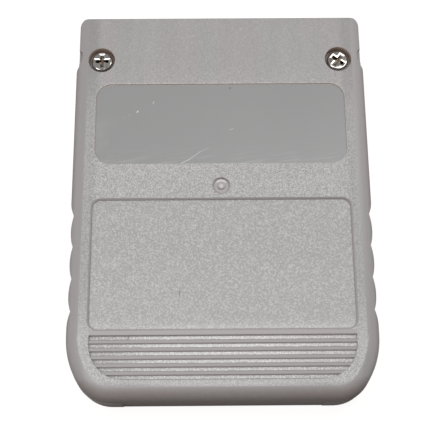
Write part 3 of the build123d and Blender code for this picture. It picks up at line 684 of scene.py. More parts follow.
@dataclass(frozen=True)
class SoilAndPaintedShade:
    """Grime and painted shade along the recesses, painted shadow in the notches, painted shade at the tail,
    and brown stain in the screw wells.
    """

    # Dark brown of grime, also used for painted shade and painted shadow.
    dirt_and_shade: Colour = (0.168, 0.108, 0.080)
    stain: Colour = (0.520, 0.370, 0.280)
    layout: BackLayout = BackLayout()
    patch_per_mm: float = 1.4
    patch_range: Span = (0.65, 1.35)
    panel_inset: float = 0.02
    panel_line: Fade = Fade(0.03, 0.12, 0.25)
    rib_line: Fade = Fade(0.02, 0.10, 0.24)
    gate_line: Fade = Fade(0.06, 0.2, 0.35)
    nub_painted_shade: Fade = Fade(0.03, 0.12, 0.5)
    nub_side: Fade = Fade(1.2, 1.7)
    tail_wall: float = 0.32
    rib_ends: Fade = Fade(6.0, 14.0, 0.12)
    lower_ribs: Fade = Fade(-25.0, -21.0, 0.06)
    contact_wall: float = 0.12
    notch: Fade = Fade(1.35, 1.43)
    notch_wall: Fade = Fade(0.4, 0.8, 0.7)
    notch_side: Fade = Fade(20.4, 21.5)
    notch_ledge: float = 0.12
    notch_mouth: Fade = Fade(7.3, 7.9)
    notch_foot: Fade = Fade(6.8, 6.9)
    tail_lean: Fade = Fade(-0.6, 0.0)
    tail_from: Fade = Fade(-25.5, -24.5)
    tail_ends: Fade = Fade(4.0, 14.0, 0.06)
    tail_painted_shade: float = 0.31
    side_foot_painted_shade: Fade = Fade(2.0, 6.0, 0.25)
    parting: Fade = Fade(4.5, 4.7, 0.38)
    parting_from: Fade = Fade(-24.0, -20.0)
    well_side: Fade = Fade(-1.6, 1.3, 0.82)
    label_line: Fade = Fade(0.03, 0.10)
    label_top: Fade = Fade(15.6, 16.9, 0.25)
    label_line_stain_and_shade: float = 0.22
    stain_and_shade_heights: Fade = Fade(6.9, 7.9)
    stain_share: float = 0.5

    def lines(self, shader: Shader, zone: Zones) -> Wire:
        """Grime with painted shade along the outlines of the panel, the grip and the gate mark, painted
        shade on the nub's lower edge, and grime with painted shade on the groove walls.

        Args:
            shader: The finish's sheet.
            zone: Masks of the surfaces.

        Returns:
            Share of grime and painted shade.
        """
        out = self.layout.from_gate(shader)
        # Grime with painted shade along the outlines.
        line = self.panel_line.fall(abs(self.layout.panel.distance(shader) + self.panel_inset))
        line = line.most(self.rib_line.fall(abs(self.layout.rib_zone(shader))))
        line = line.most(self.gate_line.fall(abs(out - self.layout.gate_radius)))
        # Painted shade on the lower edge of the nub.
        nub = self.nub_painted_shade.fall(abs(out - self.layout.nub_radius)) * self.nub_side.fall(shader.y)
        # Grime with painted shade on the groove walls, less at their ends and in the lowest grooves.
        under = self.tail_wall - self.rib_ends.rise(abs(shader.x)) - self.lower_ribs.fall(shader.y)
        walls = (zone.tail_wall * under).most(zone.contact_wall * self.contact_wall)
        return (line.most(nub) * zone.upper).most(walls)

    def notches(self, shader: Shader) -> Wire:
        """Painted shadow in the notches, strongest on the steep walls of their upper halves, faint on their
        ledges.

        Args:
            shader: The finish's sheet.

        Returns:
            Share of painted shadow.
        """
        # Painted shadow on the notch walls of the upper half, and a little on the ledge.
        wall = self.notch_wall.rise(shader.tilt()) * self.notch_side.rise(shader.y) + self.notch_ledge
        inside = self.notch.fall(self.layout.from_notch(shader))
        return inside * self.notch_mouth.fall(shader.z) * self.notch_foot.rise(shader.z) * wall

    def low(self, shader: Shader) -> Wire:
        """Painted shade at the tail, low on the sides and under the parting line.

        Args:
            shader: The finish's sheet.

        Returns:
            Share of painted shade.
        """
        # Painted shade on the surfaces that face the tail, low on the sides and under the parting line.
        tail = self.tail_lean.fall(shader.facing()[1]) * self.tail_from.fall(shader.y)
        tail = tail * (self.tail_ends.rise(abs(shader.x)) + self.tail_painted_shade)
        parting = self.parting.fall(shader.z) * self.parting_from.fall(shader.y)
        return tail.most(self.side_foot_painted_shade.fall(shader.z)).most(parting)

    def add(self, shader: Shader, zone: Zones, colour: Wire) -> Wire:
        """Lay grime, painted shade and stain over a clean colour.

        Args:
            shader: The finish's sheet.
            zone: Masks of the surfaces.
            colour: Clean colour.

        Returns:
            The colour with its grime, painted shade and stain.
        """
        patchy = shader.noise(self.patch_per_mm).between(*self.patch_range)
        # Grime with painted shade along the recesses, painted shadow in the notches and painted shade low
        # down.
        dirt_and_shade = self.lines(shader, zone).most(self.notches(shader)).most(self.low(shader))
        colour = shader.blend((dirt_and_shade * patchy).least(1.0), colour, self.dirt_and_shade)
        well = zone.well * self.well_side.rise(shader.y - self.layout.screw[1])
        # Brown line along the label's rim, strongest on its top edge: stain with painted shade.
        edge = self.label_line.fall(abs(self.layout.label.distance(shader))) * zone.upper
        edge = edge * (self.label_top.rise(shader.y) + self.label_line_stain_and_shade)
        # Brown stain, going over to dark brown further down as painted shade.
        stain = shader.blend(self.stain_and_shade_heights.rise(shader.z), self.dirt_and_shade, self.stain)
        return shader.blend(well.most(edge) * patchy.between(self.stain_share, 1.0), colour, stain)


@dataclass(frozen=True)
class PaintedHighlights:
    """Painted highlights: pale dotted lines along the top of the label recess's rims, and a glint crescent
    and a highlight on the nub of the gate mark.
    """

    # Pale for the painted highlights and for the pale scratches.
    pale: Colour = (0.72, 0.71, 0.70)
    layout: BackLayout = BackLayout()
    dots_per_mm: float = 3.2
    dots: Fade = Fade(0.42, 0.62, 0.35)
    outer_rim: float = 0.13
    outer_line: Fade = Fade(0.04, 0.12)
    inner_rim: float = -0.15
    inner_line: Fade = Fade(0.03, 0.10, 0.4)
    rim_top: Fade = Fade(15.6, 16.9)
    crescent_radius: float = 0.80
    crescent_glint: Fade = Fade(0.06, 0.16, 0.85)
    crescent_side: Fade = Fade(0.35, 0.7)
    dome_highlight: Fade = Fade(0.18, 0.34, 0.5)

    def add(self, shader: Shader, zone: Zones, colour: Wire) -> Wire:
        """Paint highlights over a colour.

        Args:
            shader: The finish's sheet.
            zone: Masks of the surfaces.
            colour: Colour before the painted highlights.

        Returns:
            The colour with its painted highlights.
        """
        label = self.layout.label.distance(shader)
        # Painted highlights along the top of the label recess's rims.
        rim = self.outer_line.fall(abs(label - self.outer_rim))
        rim = rim.most(self.inner_line.fall(abs(label - self.inner_rim))) * self.rim_top.rise(shader.y)
        rim = rim * self.dots.rise(shader.noise(self.dots_per_mm, 1.0))
        out = self.layout.from_gate(shader)
        # Painted glint crescent in the gate mark, and a painted highlight on its nub.
        crescent_glint = self.crescent_glint.fall(abs(out - self.crescent_radius))
        crescent_glint = crescent_glint * self.crescent_side.rise(shader.y - self.layout.gate[1])
        amount = rim.most(crescent_glint).most(self.dome_highlight.fall(out)) * zone.upper
        return shader.blend(amount, colour, self.pale)


@dataclass(frozen=True)
class CasePlastic(Finish):
    """Grey moulded plastic: grained faces, polished edges and recesses, and light wear, with painted light,
    shade and highlights.
    """

    name: str = "case_plastic"
    grained: Colour = (0.370, 0.364, 0.359)
    polished: Colour = (0.383, 0.361, 0.359)
    label: Colour = (0.362, 0.361, 0.360)
    pink: Colour = (0.384, 0.357, 0.359)
    neutral: Colour = (0.366, 0.362, 0.355)
    grained_share: float = 0.25
    streak_per_mm: float = 0.30
    streak_stretch: Place = (1.0, 0.15, 1.0)
    streaks: Fade = Fade(0.38, 0.62, 0.7)
    streaks_from: Fade = Fade(4.0, 16.0)
    cloud_per_mm: float = 0.09
    clouds: Fade = Fade(0.35, 0.65, 0.3)
    edge_roughness: float = 0.40
    grain_roughness: float = 0.18
    label_gloss: float = 0.08
    uneven_per_mm: float = 0.5
    uneven: float = 0.08
    wave_per_mm: float = 0.6
    wave_height: float = 0.004
    layout: BackLayout = BackLayout()
    grain: Grain = Grain()
    painted_light_and_wear: PaintedLightAndWear = PaintedLightAndWear()
    soil_and_shade: SoilAndPaintedShade = SoilAndPaintedShade()
    painted_highlights: PaintedHighlights = PaintedHighlights()
    marks: tuple[Scratch, ...] = (
        Scratch((-9.64, 14.10), (-9.50, 14.45), 0.10, 0.50, Mark.PALE),
        Scratch((-11.90, 12.80), (-11.75, 12.96), 0.13, 0.85, Mark.PALE),
        Scratch((-13.00, 12.33), (-12.90, 12.41), 0.12, 0.24, Mark.PALE),
        Scratch((-13.70, 11.96), (-13.60, 12.02), 0.11, 0.18, Mark.PALE),
        Scratch((-5.53, 5.03), (-4.44, 5.55), 0.10, 0.55, Mark.PALE),
        Scratch((-4.44, 5.55), (-2.90, 6.75), 0.09, 0.40, Mark.PALE),
        Scratch((-2.90, 6.75), (-1.74, 7.30), 0.08, 0.22, Mark.PALE),
        Scratch((1.25, 10.02), (1.80, 10.20), 0.10, 0.28, Mark.PALE),
        Scratch((1.36, 16.47), (1.44, 16.51), 0.16, 0.75, Mark.DARK),
        Scratch((-5.78, -13.75), (-5.70, -13.15), 0.15, 0.55, Mark.DARK),
        Scratch((-12.45, -19.40), (-12.62, -19.80), 0.13, 0.60, Mark.DARK),
    )

    def clean(self, shader: Shader, zone: Zones, grained: Wire) -> Wire:
        """Colour the plastic, with pink flow streaks at the contact end.

        Args:
            shader: The finish's sheet.
            zone: Masks of the surfaces.
            grained: Mask of all the grained surfaces.

        Returns:
            The plain colour.
        """
        streaks = self.streaks.rise(shader.noise(self.streak_per_mm, 1.0, self.streak_stretch))
        clouds = self.clouds.rise(shader.noise(self.cloud_per_mm))
        streaky = self.streaks_from.rise(shader.y)
        rosy = (1 - streaks) * streaky + clouds * (1 - streaky)
        tint = shader.blend(self.grained_share, shader.blend(rosy, self.neutral, self.pink), self.grained)
        return shader.blend(grained, shader.blend(zone.label, self.polished, self.label), tint)

    def sheet(self) -> tuple[Shader, Wire]:
        """Fill the finish's sheet.

        Returns:
            The sheet and the case's colour.
        """
        shader = Shader(self.name, {"IOR": 1.5, "Specular IOR Level": 0.4})
        zone = self.layout.zones(shader)
        grained = zone.face.most(zone.panel).most(zone.groove)
        speck, height = self.grain.lay(shader, zone)
        colour = self.clean(shader, zone, grained)
        # Painted light and shade, wear and the grain's tone, as a factor on the plain colour.
        colour = shader.brighten(colour, self.painted_light_and_wear.factor(shader, zone) + speck)
        # Grime, painted shade and stain, then painted highlights.
        colour = self.painted_highlights.add(shader, zone, self.soil_and_shade.add(shader, zone, colour))
        for mark in self.marks:
            worn = self.painted_highlights.pale if mark.mark is Mark.PALE else self.soil_and_shade.dirt_and_shade
            colour = shader.blend(mark.mask(shader) * zone.upper, colour, worn)
        uneven = (shader.noise(self.uneven_per_mm) - 0.5) * self.uneven
        rough = self.edge_roughness + grained * self.grain_roughness - zone.label * self.label_gloss
        shader.feed("Roughness", rough + uneven)
        shader.bump(height + shader.noise(self.wave_per_mm, 1.0) * self.wave_height)
        return shader, colour


@dataclass(frozen=True)
class Metal(Finish):
    """Plated or bare metal with fine handling marks."""

    name: str
    colour: Colour
    tarnish: Colour
    roughness: float
    marks_per_mm: float
    mark_height: float
    drawn: Place = (1.0, 0.35, 1.0)
    uneven: float = 0.16
    tarnish_per_mm: float = 1.1
    tarnish_detail: float = 3.0
    tarnished: Fade = Fade(0.45, 0.75)

    def sheet(self) -> tuple[Shader, Wire]:
        """Fill the finish's sheet.

        Returns:
            The sheet and the metal's colour.
        """
        shader = Shader(self.name, {"Metallic": 1.0})
        marks = shader.noise(self.marks_per_mm, stretch=self.drawn)
        shader.feed("Roughness", self.roughness + (marks - 0.5) * self.uneven)
        shader.bump(marks * self.mark_height)
        tarnished = self.tarnished.rise(shader.noise(self.tarnish_per_mm, self.tarnish_detail))
        return shader, shader.blend(tarnished, self.colour, self.tarnish)


@dataclass(frozen=True)
class ScrewMetal(Metal):
    """Nickel-plated steel, with old grime down in the driver recess."""

    grime: Colour = (0.170, 0.125, 0.080)
    layout: BackLayout = BackLayout()
    flat: float = 7.67
    grime_depth: Fade = Fade(0.12, 0.34)
    grime_reach: Fade = Fade(1.1, 1.2)
    grime_per_mm: float = 2.2
    grime_range: Span = (0.35, 1.15)

    def sheet(self) -> tuple[Shader, Wire]:
        """Fill the finish's sheet.

        Returns:
            The sheet and the metal's colour with its dirt.
        """
        shader, colour = super().sheet()
        sunk = self.grime_depth.rise(self.flat - shader.z)
        sunk = sunk * self.grime_reach.fall(self.layout.from_screw(shader))
        amount = sunk * shader.noise(self.grime_per_mm).between(*self.grime_range)
        return shader, shader.blend(amount.least(1.0), colour, self.grime)


@dataclass(frozen=True)
class Laminate(Finish):
    """Green solder mask over a glass weave."""

    name: str = "board_laminate"
    mask: Colour = (0.012, 0.115, 0.045)
    track: Colour = (0.030, 0.200, 0.085)
    core: Colour = (0.360, 0.330, 0.170)
    cut_edge: Fade = Fade(0.4, 0.8)
    track_turn: float = 7.0
    tracks: Fade = Fade(0.55, 0.8)
    track_height: float = 0.03
    group_per_mm: float = 0.12
    group_stretch: Place = (1.0, 3.0, 1.0)
    groups: Fade = Fade(0.5, 0.52)
    shade_per_mm: float = 1.5
    shade: Span = (0.8, 1.2)
    weave_turn: float = 9.0
    weave_height: float = 0.004

    def sheet(self) -> tuple[Shader, Wire]:
        """Fill the finish's sheet.

        Returns:
            The sheet and the board's colour.
        """
        shader = Shader(self.name, {"Roughness": 0.35, "Specular IOR Level": 0.5})
        tracks = self.tracks.rise((shader.x * self.track_turn).math("SINE"))
        tracks = tracks * self.groups.rise(shader.noise(self.group_per_mm, 0.0, self.group_stretch))
        weave = (shader.x * self.weave_turn).math("SINE") * (shader.y * self.weave_turn).math("SINE")
        shader.bump(tracks * self.track_height + weave * self.weave_height)
        colour = shader.blend(tracks, self.mask, self.track)
        colour = shader.brighten(colour, shader.noise(self.shade_per_mm).between(*self.shade))
        return shader, shader.blend(self.cut_edge.fall(shader.tilt()), self.core, colour)


@dataclass(frozen=True)
class Moulding(Finish):
    """Small moulded or fired body with a matt speckle."""

    name: str
    colour: Colour
    speck: Colour
    roughness: float
    per_mm: float
    detail: float = 3.0
    uneven: float = 0.2
    grain_height: float = 0.02
    specks: Fade = Fade(0.4, 0.75)

    def sheet(self) -> tuple[Shader, Wire]:
        """Fill the finish's sheet.

        Returns:
            The sheet and the body's colour.
        """
        shader = Shader(self.name, {"Specular IOR Level": 0.4})
        grain = shader.noise(self.per_mm, self.detail)
        shader.feed("Roughness", self.roughness + (grain - 0.5) * self.uneven)
        shader.bump(grain * self.grain_height)
        return shader, shader.blend(self.specks.rise(grain), self.colour, self.speck)


class Along(Enum):
    """Axis along which a part's plated bands follow each other."""

    ACROSS = "x"
    LENGTHWISE = "y"


@dataclass(frozen=True)
class Banded(Moulding):
    """Small body with tinned ends or bands at given places, in millimetres."""

    along: Along = Along.LENGTHWISE
    bands: tuple[float, ...] = ()
    half_width: float = 0.25
    border: float = 0.02
    tin: Colour = (0.64, 0.62, 0.58)

    def sheet(self) -> tuple[Shader, Wire]:
        """Fill the finish's sheet.

        Returns:
            The sheet and the body's colour with its bands.
        """
        shader, colour = super().sheet()
        place = shader.x if self.along is Along.ACROSS else shader.y
        edge = Fade(self.half_width, self.half_width + self.border)
        plated = reduce(Wire.most, [edge.fall(abs(place - band)) for band in self.bands])
        shader.feed("Metallic", plated)
        return shader, shader.blend(plated, colour, self.tin)


class Bench:
    """Modelling steps that the pieces share."""

    round_steps: int = 4
    smooth_angle: float = 30.0
    smooth_weight: int = 60
    merge_gap: float = 0.002
    merge_angle: float = 0.4
    level: float = 0.9

    @staticmethod
    def place(name: str, data: bpy.types.ID) -> bpy.types.Object:
        """Put a new object with this data in the scene."""
        piece = bpy.data.objects.new(name, data)
        bpy.context.scene.collection.objects.link(piece)
        return piece

    @staticmethod
    def only(piece: bpy.types.Object) -> None:
        """Make a piece the only one selected, and active."""
        bpy.ops.object.select_all(action="DESELECT")
        piece.select_set(True)
        bpy.context.view_layer.objects.active = piece

    @staticmethod
    def apply(piece: bpy.types.Object, kind: str, settings: dict[str, object]) -> None:
        """Add a modifier and apply it.

        Args:
            piece: Piece to change.
            kind: The modifier's type.
            settings: Its settings.
        """
        Bench.only(piece)
        modifier = piece.modifiers.new(kind.lower(), kind)
        for name, value in settings.items():
            setattr(modifier, name, value)
        bpy.ops.object.modifier_apply(modifier=modifier.name)

    @staticmethod
    def settle(name: str) -> bpy.types.Object:
        """Name the piece just added, and move its place into its mesh."""
        piece = bpy.context.active_object
        piece.name = name
        bpy.ops.object.transform_apply(location=True, rotation=True, scale=True)
        return piece

    @staticmethod
    def unselect(piece: bpy.types.Object, kind: str) -> None:
        """Make ready to select parts of a piece's mesh, with none selected yet.

        Args:
            piece: Piece in object mode.
            kind: FACE or EDGE.
        """
        Bench.only(piece)
        bpy.ops.object.mode_set(mode="EDIT")
        bpy.ops.mesh.select_mode(type=kind)
        bpy.ops.mesh.select_all(action="DESELECT")
        bpy.ops.object.mode_set(mode="OBJECT")

    @staticmethod
    def edit_faces(piece: bpy.types.Object, wanted: Callable[[Vector], bool]) -> None:
        """Open a piece for editing with some faces selected.

        Args:
            piece: Piece in object mode.
            wanted: Test on a face's direction.
        """
        Bench.unselect(piece, "FACE")
        for face in piece.data.polygons:
            face.select = wanted(face.normal)
        bpy.ops.object.mode_set(mode="EDIT")

    @staticmethod
    def smooth(piece: bpy.types.Object, angle: float, weight: int) -> None:
        """Shade a piece smooth.

        Args:
            piece: Piece in object mode.
            angle: Sharpest edge that is shaded smooth, in degrees.
            weight: Weight of the large faces in the shading, from 1 to 100.
        """
        Bench.only(piece)
        bpy.ops.object.shade_smooth_by_angle(angle=math.radians(angle))
        Bench.apply(piece, "WEIGHTED_NORMAL", {"weight": weight, "keep_sharp": True})

    @staticmethod
    def ease(piece: bpy.types.Object, width: float, angle: float) -> None:
        """Round a piece's sharp edges and shade it smooth.

        Args:
            piece: Piece in object mode.
            width: Width of the rounding, in millimetres.
            angle: Sharpest angle that stays as it is, in degrees.
        """
        bevel = {
            "width": width * MM,
            "segments": Bench.round_steps,
            "limit_method": "ANGLE",
            "angle_limit": math.radians(angle),
            "miter_outer": "MITER_ARC",
            "use_clamp_overlap": True,
        }
        Bench.apply(piece, "BEVEL", bevel)
        Bench.smooth(piece, Bench.smooth_angle, Bench.smooth_weight)

    @staticmethod
    def merged_copy(node: str, name: str) -> bpy.types.Object:
        """Copy a node's mesh and merge its loose triangles into whole faces.

        Args:
            node: Name of the node.
            name: Name of the new piece.

        Returns:
            The new piece.
        """
        piece = Bench.place(name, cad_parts[node].data.copy())
        Bench.only(piece)
        bpy.ops.mesh.customdata_custom_splitnormals_clear()
        bpy.ops.object.mode_set(mode="EDIT")
        bpy.ops.mesh.select_mode(type="VERT")
        bpy.ops.mesh.select_all(action="SELECT")
        bpy.ops.mesh.remove_doubles(threshold=Bench.merge_gap * MM)
        bpy.ops.mesh.mark_sharp(clear=True)
        bpy.ops.mesh.dissolve_limited(angle_limit=math.radians(Bench.merge_angle))
        bpy.ops.object.mode_set(mode="OBJECT")
        return piece

    @staticmethod
    def dress(piece: bpy.types.Object, finish: bpy.types.Material) -> None:
        """Give a piece one finish all over."""
        piece.data.materials.clear()
        piece.data.materials.append(finish)

    @staticmethod
    def seat(piece: bpy.types.Object, slot: str, *nodes: str) -> None:
        """Let a finished piece stand for CAD nodes.

        Args:
            piece: The piece.
            slot: Name of a material slot, not used.
            nodes: Nodes that it stands for.
        """
        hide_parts(*nodes)
        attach(piece, BODY)
        LOG.info("%s: %d faces", piece.name, len(piece.data.polygons))


@dataclass
class CaseShell:
    """One moulded half of the case, with its sharp edges eased."""

    node: str
    name: str
    edge_break: float = 0.05
    sharpest_kept: float = 62.0

    def build(self, finish: bpy.types.Material) -> bpy.types.Object:
        """Model the shell.

        Args:
            finish: Case plastic.

        Returns:
            The shell.
        """
        shell = Bench.merged_copy(self.node, self.name)
        Bench.ease(shell, self.edge_break, self.sharpest_kept)
        Bench.dress(shell, finish)
        Bench.seat(shell, "case_plastic", self.node)
        return shell


@dataclass
class CaseScrews:
    """Two pan-head screws with a cross recess, modelled at the left well and copied to the right one."""

    axis: Point = (-17.13, 20.96)
    seat: float = 6.85
    head_radius: float = 1.53
    rim_height: float = 0.42
    flat_height: float = 0.82
    flat_radius: float = 1.22
    lip_width: float = 0.05
    shank_radius: float = 0.85
    root_radius: float = 0.64
    shank_length: float = 5.1
    neck_length: float = 0.9
    thread_pitch: float = 0.6
    recess_span: float = 1.98
    recess_core: float = 0.90
    slot_width: float = 0.52
    core_width: float = 0.36
    recess_depth: float = 0.7
    dish_width: float = 0.20
    dish_depth: float = 0.055
    right_turn: float = 52.0
    tip_scale: float = 0.6
    overcut: float = 0.02
    slack: float = 0.01
    flat_share: float = 0.99
    head_sides: int = 64
    crown_steps: int = 6
    lip_steps: int = 4
    smooth_angle: float = 12.0
    smooth_weight: int = 50

    def at(self, height: float) -> Place:
        """Place on the left screw's axis at this height above its seat, in metres."""
        return self.axis[0] * MM, self.axis[1] * MM, (self.seat + height) * MM

    def crown(self, screw: bpy.types.Object) -> None:
        """Raise the top over a rounded rim to its flat, ring by ring."""
        Bench.edit_faces(screw, lambda normal: normal.z > Bench.level)
        reach = self.head_radius - self.flat_radius
        rise = self.flat_height - self.rim_height
        before = (0.0, 0.0)
        for step in range(1, self.crown_steps + 1):
            turn = math.radians(90 * step / self.crown_steps)
            inwards, upwards = reach * (1 - math.cos(turn)), rise * math.sin(turn)
            bpy.ops.mesh.inset(thickness=(inwards - before[0]) * MM)
            bpy.ops.transform.translate(value=(0, 0, (upwards - before[1]) * MM))
            before = (inwards, upwards)
        bpy.ops.object.mode_set(mode="OBJECT")

    def shank(self, screw: bpy.types.Object) -> None:
        """Draw the neck, the thread's turns and the tip out of the underside."""
        Bench.edit_faces(screw, lambda normal: normal.z < -Bench.level)
        bpy.ops.mesh.inset(thickness=(self.head_radius - self.shank_radius) * MM)
        self.draw_out(self.neck_length, 1.0)
        turns = int((self.shank_length - self.neck_length) / self.thread_pitch)
        thin = self.root_radius / self.shank_radius
        for _ in range(turns):
            self.draw_out(self.thread_pitch / 2, thin)
            self.draw_out(self.thread_pitch / 2, 1 / thin)
        left = self.shank_length - self.neck_length - turns * self.thread_pitch
        self.draw_out(max(left, self.slack), self.tip_scale)
        bpy.ops.object.mode_set(mode="OBJECT")

    def draw_out(self, length: float, scale: float) -> None:
        """Extrude the selected end downwards and scale it about the axis.

        Args:
            length: Length of the step, in millimetres.
            scale: Factor on the end's size.
        """
        bpy.ops.mesh.extrude_region_move(TRANSFORM_OT_translate={"value": (0, 0, -length * MM)})
        bpy.ops.transform.resize(value=(scale, scale, 1), center_override=self.at(0))

    def sink(self, screw: bpy.types.Object, mouth: Point, foot: Point, depth: float) -> None:
        """Sink one tapered trough into the head.

        Args:
            screw: Screw to cut.
            mouth: The trough's plan at the head's flat, in millimetres.
            foot: Its plan at its floor.
            depth: Depth of its floor under the flat.
        """
        height = depth + self.overcut
        plan = [top + (top - low) * self.overcut / depth for top, low in zip(mouth, foot)]
        bpy.ops.object.select_all(action="DESELECT")
        bpy.ops.mesh.primitive_cube_add(
            size=1,
            location=self.at(self.flat_height + self.overcut - height / 2),
            scale=(plan[0] * MM, plan[1] * MM, height * MM),
        )
        block = Bench.settle("recess_block")
        Bench.edit_faces(block, lambda normal: normal.z < -Bench.level)
        taper = (foot[0] / plan[0], foot[1] / plan[1], 1)
        bpy.ops.transform.resize(value=taper, center_override=self.at(0))
        bpy.ops.object.mode_set(mode="OBJECT")
        Bench.apply(screw, "BOOLEAN", {"object": block, "operation": "DIFFERENCE", "solver": "EXACT"})
        bpy.data.objects.remove(block)

    def recess(self, screw: bpy.types.Object) -> None:
        """Stamp the driver's cross: a shallow dish first, then the deep slots in it."""
        slot = (self.recess_span, self.slot_width)
        dish = (slot[0] + 2 * self.dish_width, slot[1] + 2 * self.dish_width)
        core = (self.recess_core, self.core_width)
        for mouth, foot, depth in ((dish, slot, self.dish_depth), (slot, core, self.recess_depth)):
            self.sink(screw, mouth, foot, depth)
            self.sink(screw, mouth[::-1], foot[::-1], depth)

    def lip(self, screw: bpy.types.Object) -> None:
        """Round the recess over into the flat, as stamping leaves it, and shade the screw smooth."""
        Bench.unselect(screw, "EDGE")
        mesh = screw.data
        axis = Vector(self.at(self.flat_height))
        sides = {key: 0 for key in mesh.edge_keys}
        for face in mesh.polygons:
            if face.normal.z > self.flat_share:
                for key in face.edge_keys:
                    sides[key] += 1
        slack, reach = self.slack * MM, (self.flat_radius - self.slack) * MM
        for edge in mesh.edges:
            ends = [mesh.vertices[index].co - axis for index in edge.vertices]
            inside = all(abs(end.z) < slack and end.xy.length < reach for end in ends)
            edge.select = inside and sides[edge.key] == 1
        bpy.ops.object.mode_set(mode="EDIT")
        width = self.lip_width * MM
        bpy.ops.mesh.bevel(offset=width, segments=self.lip_steps, affect="EDGES", clamp_overlap=True)
        bpy.ops.object.mode_set(mode="OBJECT")
        Bench.smooth(screw, self.smooth_angle, self.smooth_weight)

    def twin(self, screw: bpy.types.Object) -> bpy.types.Object:
        """Copy the left screw to the right well and turn it as it was left there.

        Args:
            screw: The left screw.

        Returns:
            The right screw.
        """
        twin = Bench.place("case_screw_right", screw.data.copy())
        Bench.only(twin)
        bpy.ops.object.mode_set(mode="EDIT")
        bpy.ops.mesh.select_all(action="SELECT")
        turn = math.radians(self.right_turn)
        bpy.ops.transform.rotate(value=-turn, orient_axis="Z", center_override=self.at(0))
        bpy.ops.transform.translate(value=(-2 * self.axis[0] * MM, 0, 0))
        bpy.ops.object.mode_set(mode="OBJECT")
        return twin

    def build(self, finish: bpy.types.Material) -> None:
        """Model both screws.

        Args:
            finish: Screw metal.
        """
        bpy.ops.object.select_all(action="DESELECT")
        bpy.ops.mesh.primitive_cylinder_add(
            vertices=self.head_sides,
            radius=self.head_radius * MM,
            depth=self.rim_height * MM,
            location=self.at(self.rim_height / 2),
        )
        left = Bench.settle("case_screw_left")
        self.crown(left)
        self.shank(left)
        self.recess(left)
        self.lip(left)
        for screw in (left, self.twin(left)):
            Bench.dress(screw, finish)
            Bench.seat(screw, "screw_metal", "case_screws")


@dataclass
class BoardParts:
    """CAD nodes that keep their shape and take a finish, by family name without its number."""

    finish: Finish
    families: tuple[str, ...]

    def dress(self) -> None:
        """Assign the finish to every node of the families."""
        material = self.finish.make()
        for name, node in sorted(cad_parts.items()):
            if name.rstrip("_0123456789") in self.families:
                for slot in node.material_slots:
                    slot.material = material
                LOG.info("%s: %s", name, self.finish.name)


@dataclass
class Studio:
    """Camera, lamps, floor and background."""

    lens: float = 77.16
    sensor: float = 36.0
    camera_place: Place = (-1.565, -40.71, 128.66)
    camera_turn: Place = (17.5, -0.17, -0.45)
    floor_size: float = 3.0
    floor_colour: Colour = (0.20, 0.165, 0.145)
    floor_white: float = 0.92
    floor_in_gloss: float = 0.12
    floor_roughness: float = 0.9
    fibre_per_mm: float = 0.05
    fibre: Span = (0.95, 1.05)
    sky_bright: float = 0.40
    sky_dim: float = 0.07
    sky_in_gloss: float = 0.15
    sky_lengthwise: float = 0.5
    sky: Fade = Fade(-0.5, 0.9)
    box_place: Place = (-0.006, 0.012, 0.150)
    box_size: Point = (0.36, 0.06)
    box_power: float = 0.26

    def camera(self) -> None:
        """Set the camera where the photograph was taken from."""
        data = bpy.data.cameras.new("camera")
        data.lens = self.lens
        data.sensor_width = self.sensor
        data.clip_start = MM
        camera = Bench.place("camera", data)
        camera.location = Vector(self.camera_place) * MM
        camera.rotation_euler = [math.radians(turn) for turn in self.camera_turn]
        bpy.context.scene.camera = camera

    def lamp(self, name: str, place: Place, size: Point, power: float) -> None:
        """Hang one soft box that points at the card.

        Args:
            name: The lamp's name.
            place: Where it hangs, in metres.
            size: Its width and height, in metres.
            power: Power in watts.
        """
        data = bpy.data.lights.new(name, "AREA")
        data.shape = "RECTANGLE"
        data.size, data.size_y = size
        data.energy = power
        lamp = Bench.place(name, data)
        lamp.location = place
        lamp.rotation_euler = (-Vector(place)).to_track_quat("-Z", "Y").to_euler()

    def floor(self) -> None:
        """Lay the floor: pale to the eye, with the card's soft shadow on it."""
        bpy.ops.object.select_all(action="DESELECT")
        bpy.ops.mesh.primitive_plane_add(size=self.floor_size, location=(0, 0, 0))
        floor = bpy.context.active_object
        floor.name = "studio_floor"
        shader = Shader("studio_paper", {"Roughness": self.floor_roughness, "Specular IOR Level": 0.0})
        fibre = shader.noise(self.fibre_per_mm).between(*self.fibre)
        shader.feed("Base Color", shader.brighten(self.floor_colour, fibre))
        shader.feed("Emission Color", shader.blend(shader.seen(self.floor_in_gloss), BLACK, WHITE))
        shader.surface.inputs["Emission Strength"].default_value = self.floor_white
        Bench.dress(floor, shader.material)

    def world(self) -> None:
        """Light the room: bright from both sides, less from above, dim from the tail."""
        world = bpy.data.worlds.new("studio")
        world.use_nodes = True
        bpy.context.scene.world = world
        sheet = Sheet(world.node_tree)
        towards = sheet.add("ShaderNodeTexCoord", {}, {}, "Generated")
        side = sheet.add("ShaderNodeSeparateXYZ", {}, {0: towards}, "X")
        open_sky = abs(side) + side.other("Y") * self.sky_lengthwise
        dim, bright = ((level, level, level) for level in (self.sky_dim, self.sky_bright))
        sky = sheet.blend(self.sky.rise(open_sky), dim, bright)
        colour = sheet.blend(sheet.seen(self.sky_in_gloss), sky, WHITE)
        sheet.tree.links.new(colour.socket, sheet.tree.nodes["Background"].inputs["Color"])

    def build(self) -> None:
        """Set up the whole studio."""
        bpy.context.scene.view_settings.view_transform = "Standard"
        self.camera()
        self.lamp("camera_box", self.box_place, self.box_size, self.box_power)
        self.floor()
        self.world()


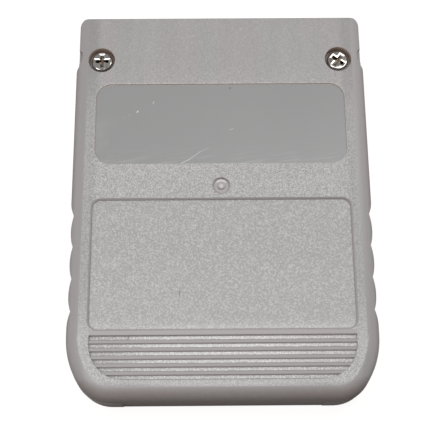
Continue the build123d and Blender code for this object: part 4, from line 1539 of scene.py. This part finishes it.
def board_parts() -> tuple[BoardParts, ...]:
    """Choose the finishes of the board and of all that is on it.

    Returns:
        The families of nodes, each with its finish.
    """
    gold = Metal(
        "contact_gold",
        (0.80, 0.56, 0.20),
        (0.62, 0.40, 0.14),
        roughness=0.28,
        marks_per_mm=8.0,
        mark_height=0.003,
    )
    tin = Metal(
        "lead_tin",
        (0.66, 0.65, 0.62),
        (0.50, 0.49, 0.46),
        roughness=0.32,
        marks_per_mm=7.0,
        mark_height=0.003,
    )
    resin = Moulding("chip_resin", (0.012, 0.012, 0.013), (0.030, 0.030, 0.031), roughness=0.55, per_mm=5.0)
    ceramic = Banded(
        "resonator_ceramic",
        (0.055, 0.110, 0.260),
        (0.085, 0.150, 0.310),
        roughness=0.4,
        per_mm=4.0,
        along=Along.ACROSS,
        bands=(6.2, 8.6, 11.0),
        half_width=0.5,
    )
    reservoir = Banded(
        "supply_resin",
        (0.560, 0.290, 0.050),
        (0.620, 0.350, 0.080),
        roughness=0.5,
        per_mm=5.0,
        along=Along.ACROSS,
        bands=(-14.7, -11.3),
        half_width=0.15,
    )
    bypass = Banded(
        "bypass_ceramic",
        (0.400, 0.300, 0.190),
        (0.460, 0.360, 0.240),
        roughness=0.45,
        per_mm=6.0,
        bands=(10.775, 12.425),
        half_width=0.24,
    )
    film = Banded(
        "resistor_film",
        (0.014, 0.014, 0.016),
        (0.035, 0.035, 0.038),
        roughness=0.4,
        per_mm=6.0,
        bands=(13.375, 15.025),
        half_width=0.24,
    )
    return (
        BoardParts(Laminate(), ("circuit_board",)),
        BoardParts(gold, ("contact_pad",)),
        BoardParts(resin, ("memory_chip", "controller_chip", "reset_chip")),
        BoardParts(tin, ("memory_chip_leads", "controller_chip_leads", "reset_chip_leads")),
        BoardParts(ceramic, ("resonator",)),
        BoardParts(reservoir, ("supply_capacitor",)),
        BoardParts(bypass, ("bypass_capacitor",)),
        BoardParts(film, ("line_resistor",)),
    )


def main() -> None:
    """Build and dress the card, then set up the studio."""
    logging.basicConfig(level=logging.INFO, format="%(message)s")
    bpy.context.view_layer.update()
    plastic = CasePlastic().make()
    CaseShell("rear_shell", "rear_case").build(plastic)
    CaseShell("front_shell", "front_case").build(plastic)
    nickel = ScrewMetal(
        "screw_metal",
        (0.52, 0.50, 0.47),
        (0.30, 0.27, 0.23),
        roughness=0.13,
        marks_per_mm=6.0,
        mark_height=0.004,
    )
    CaseScrews().build(nickel.make())
    for parts in board_parts():
        parts.dress()
    Studio().build()


if __name__ == "__main__":
    main()
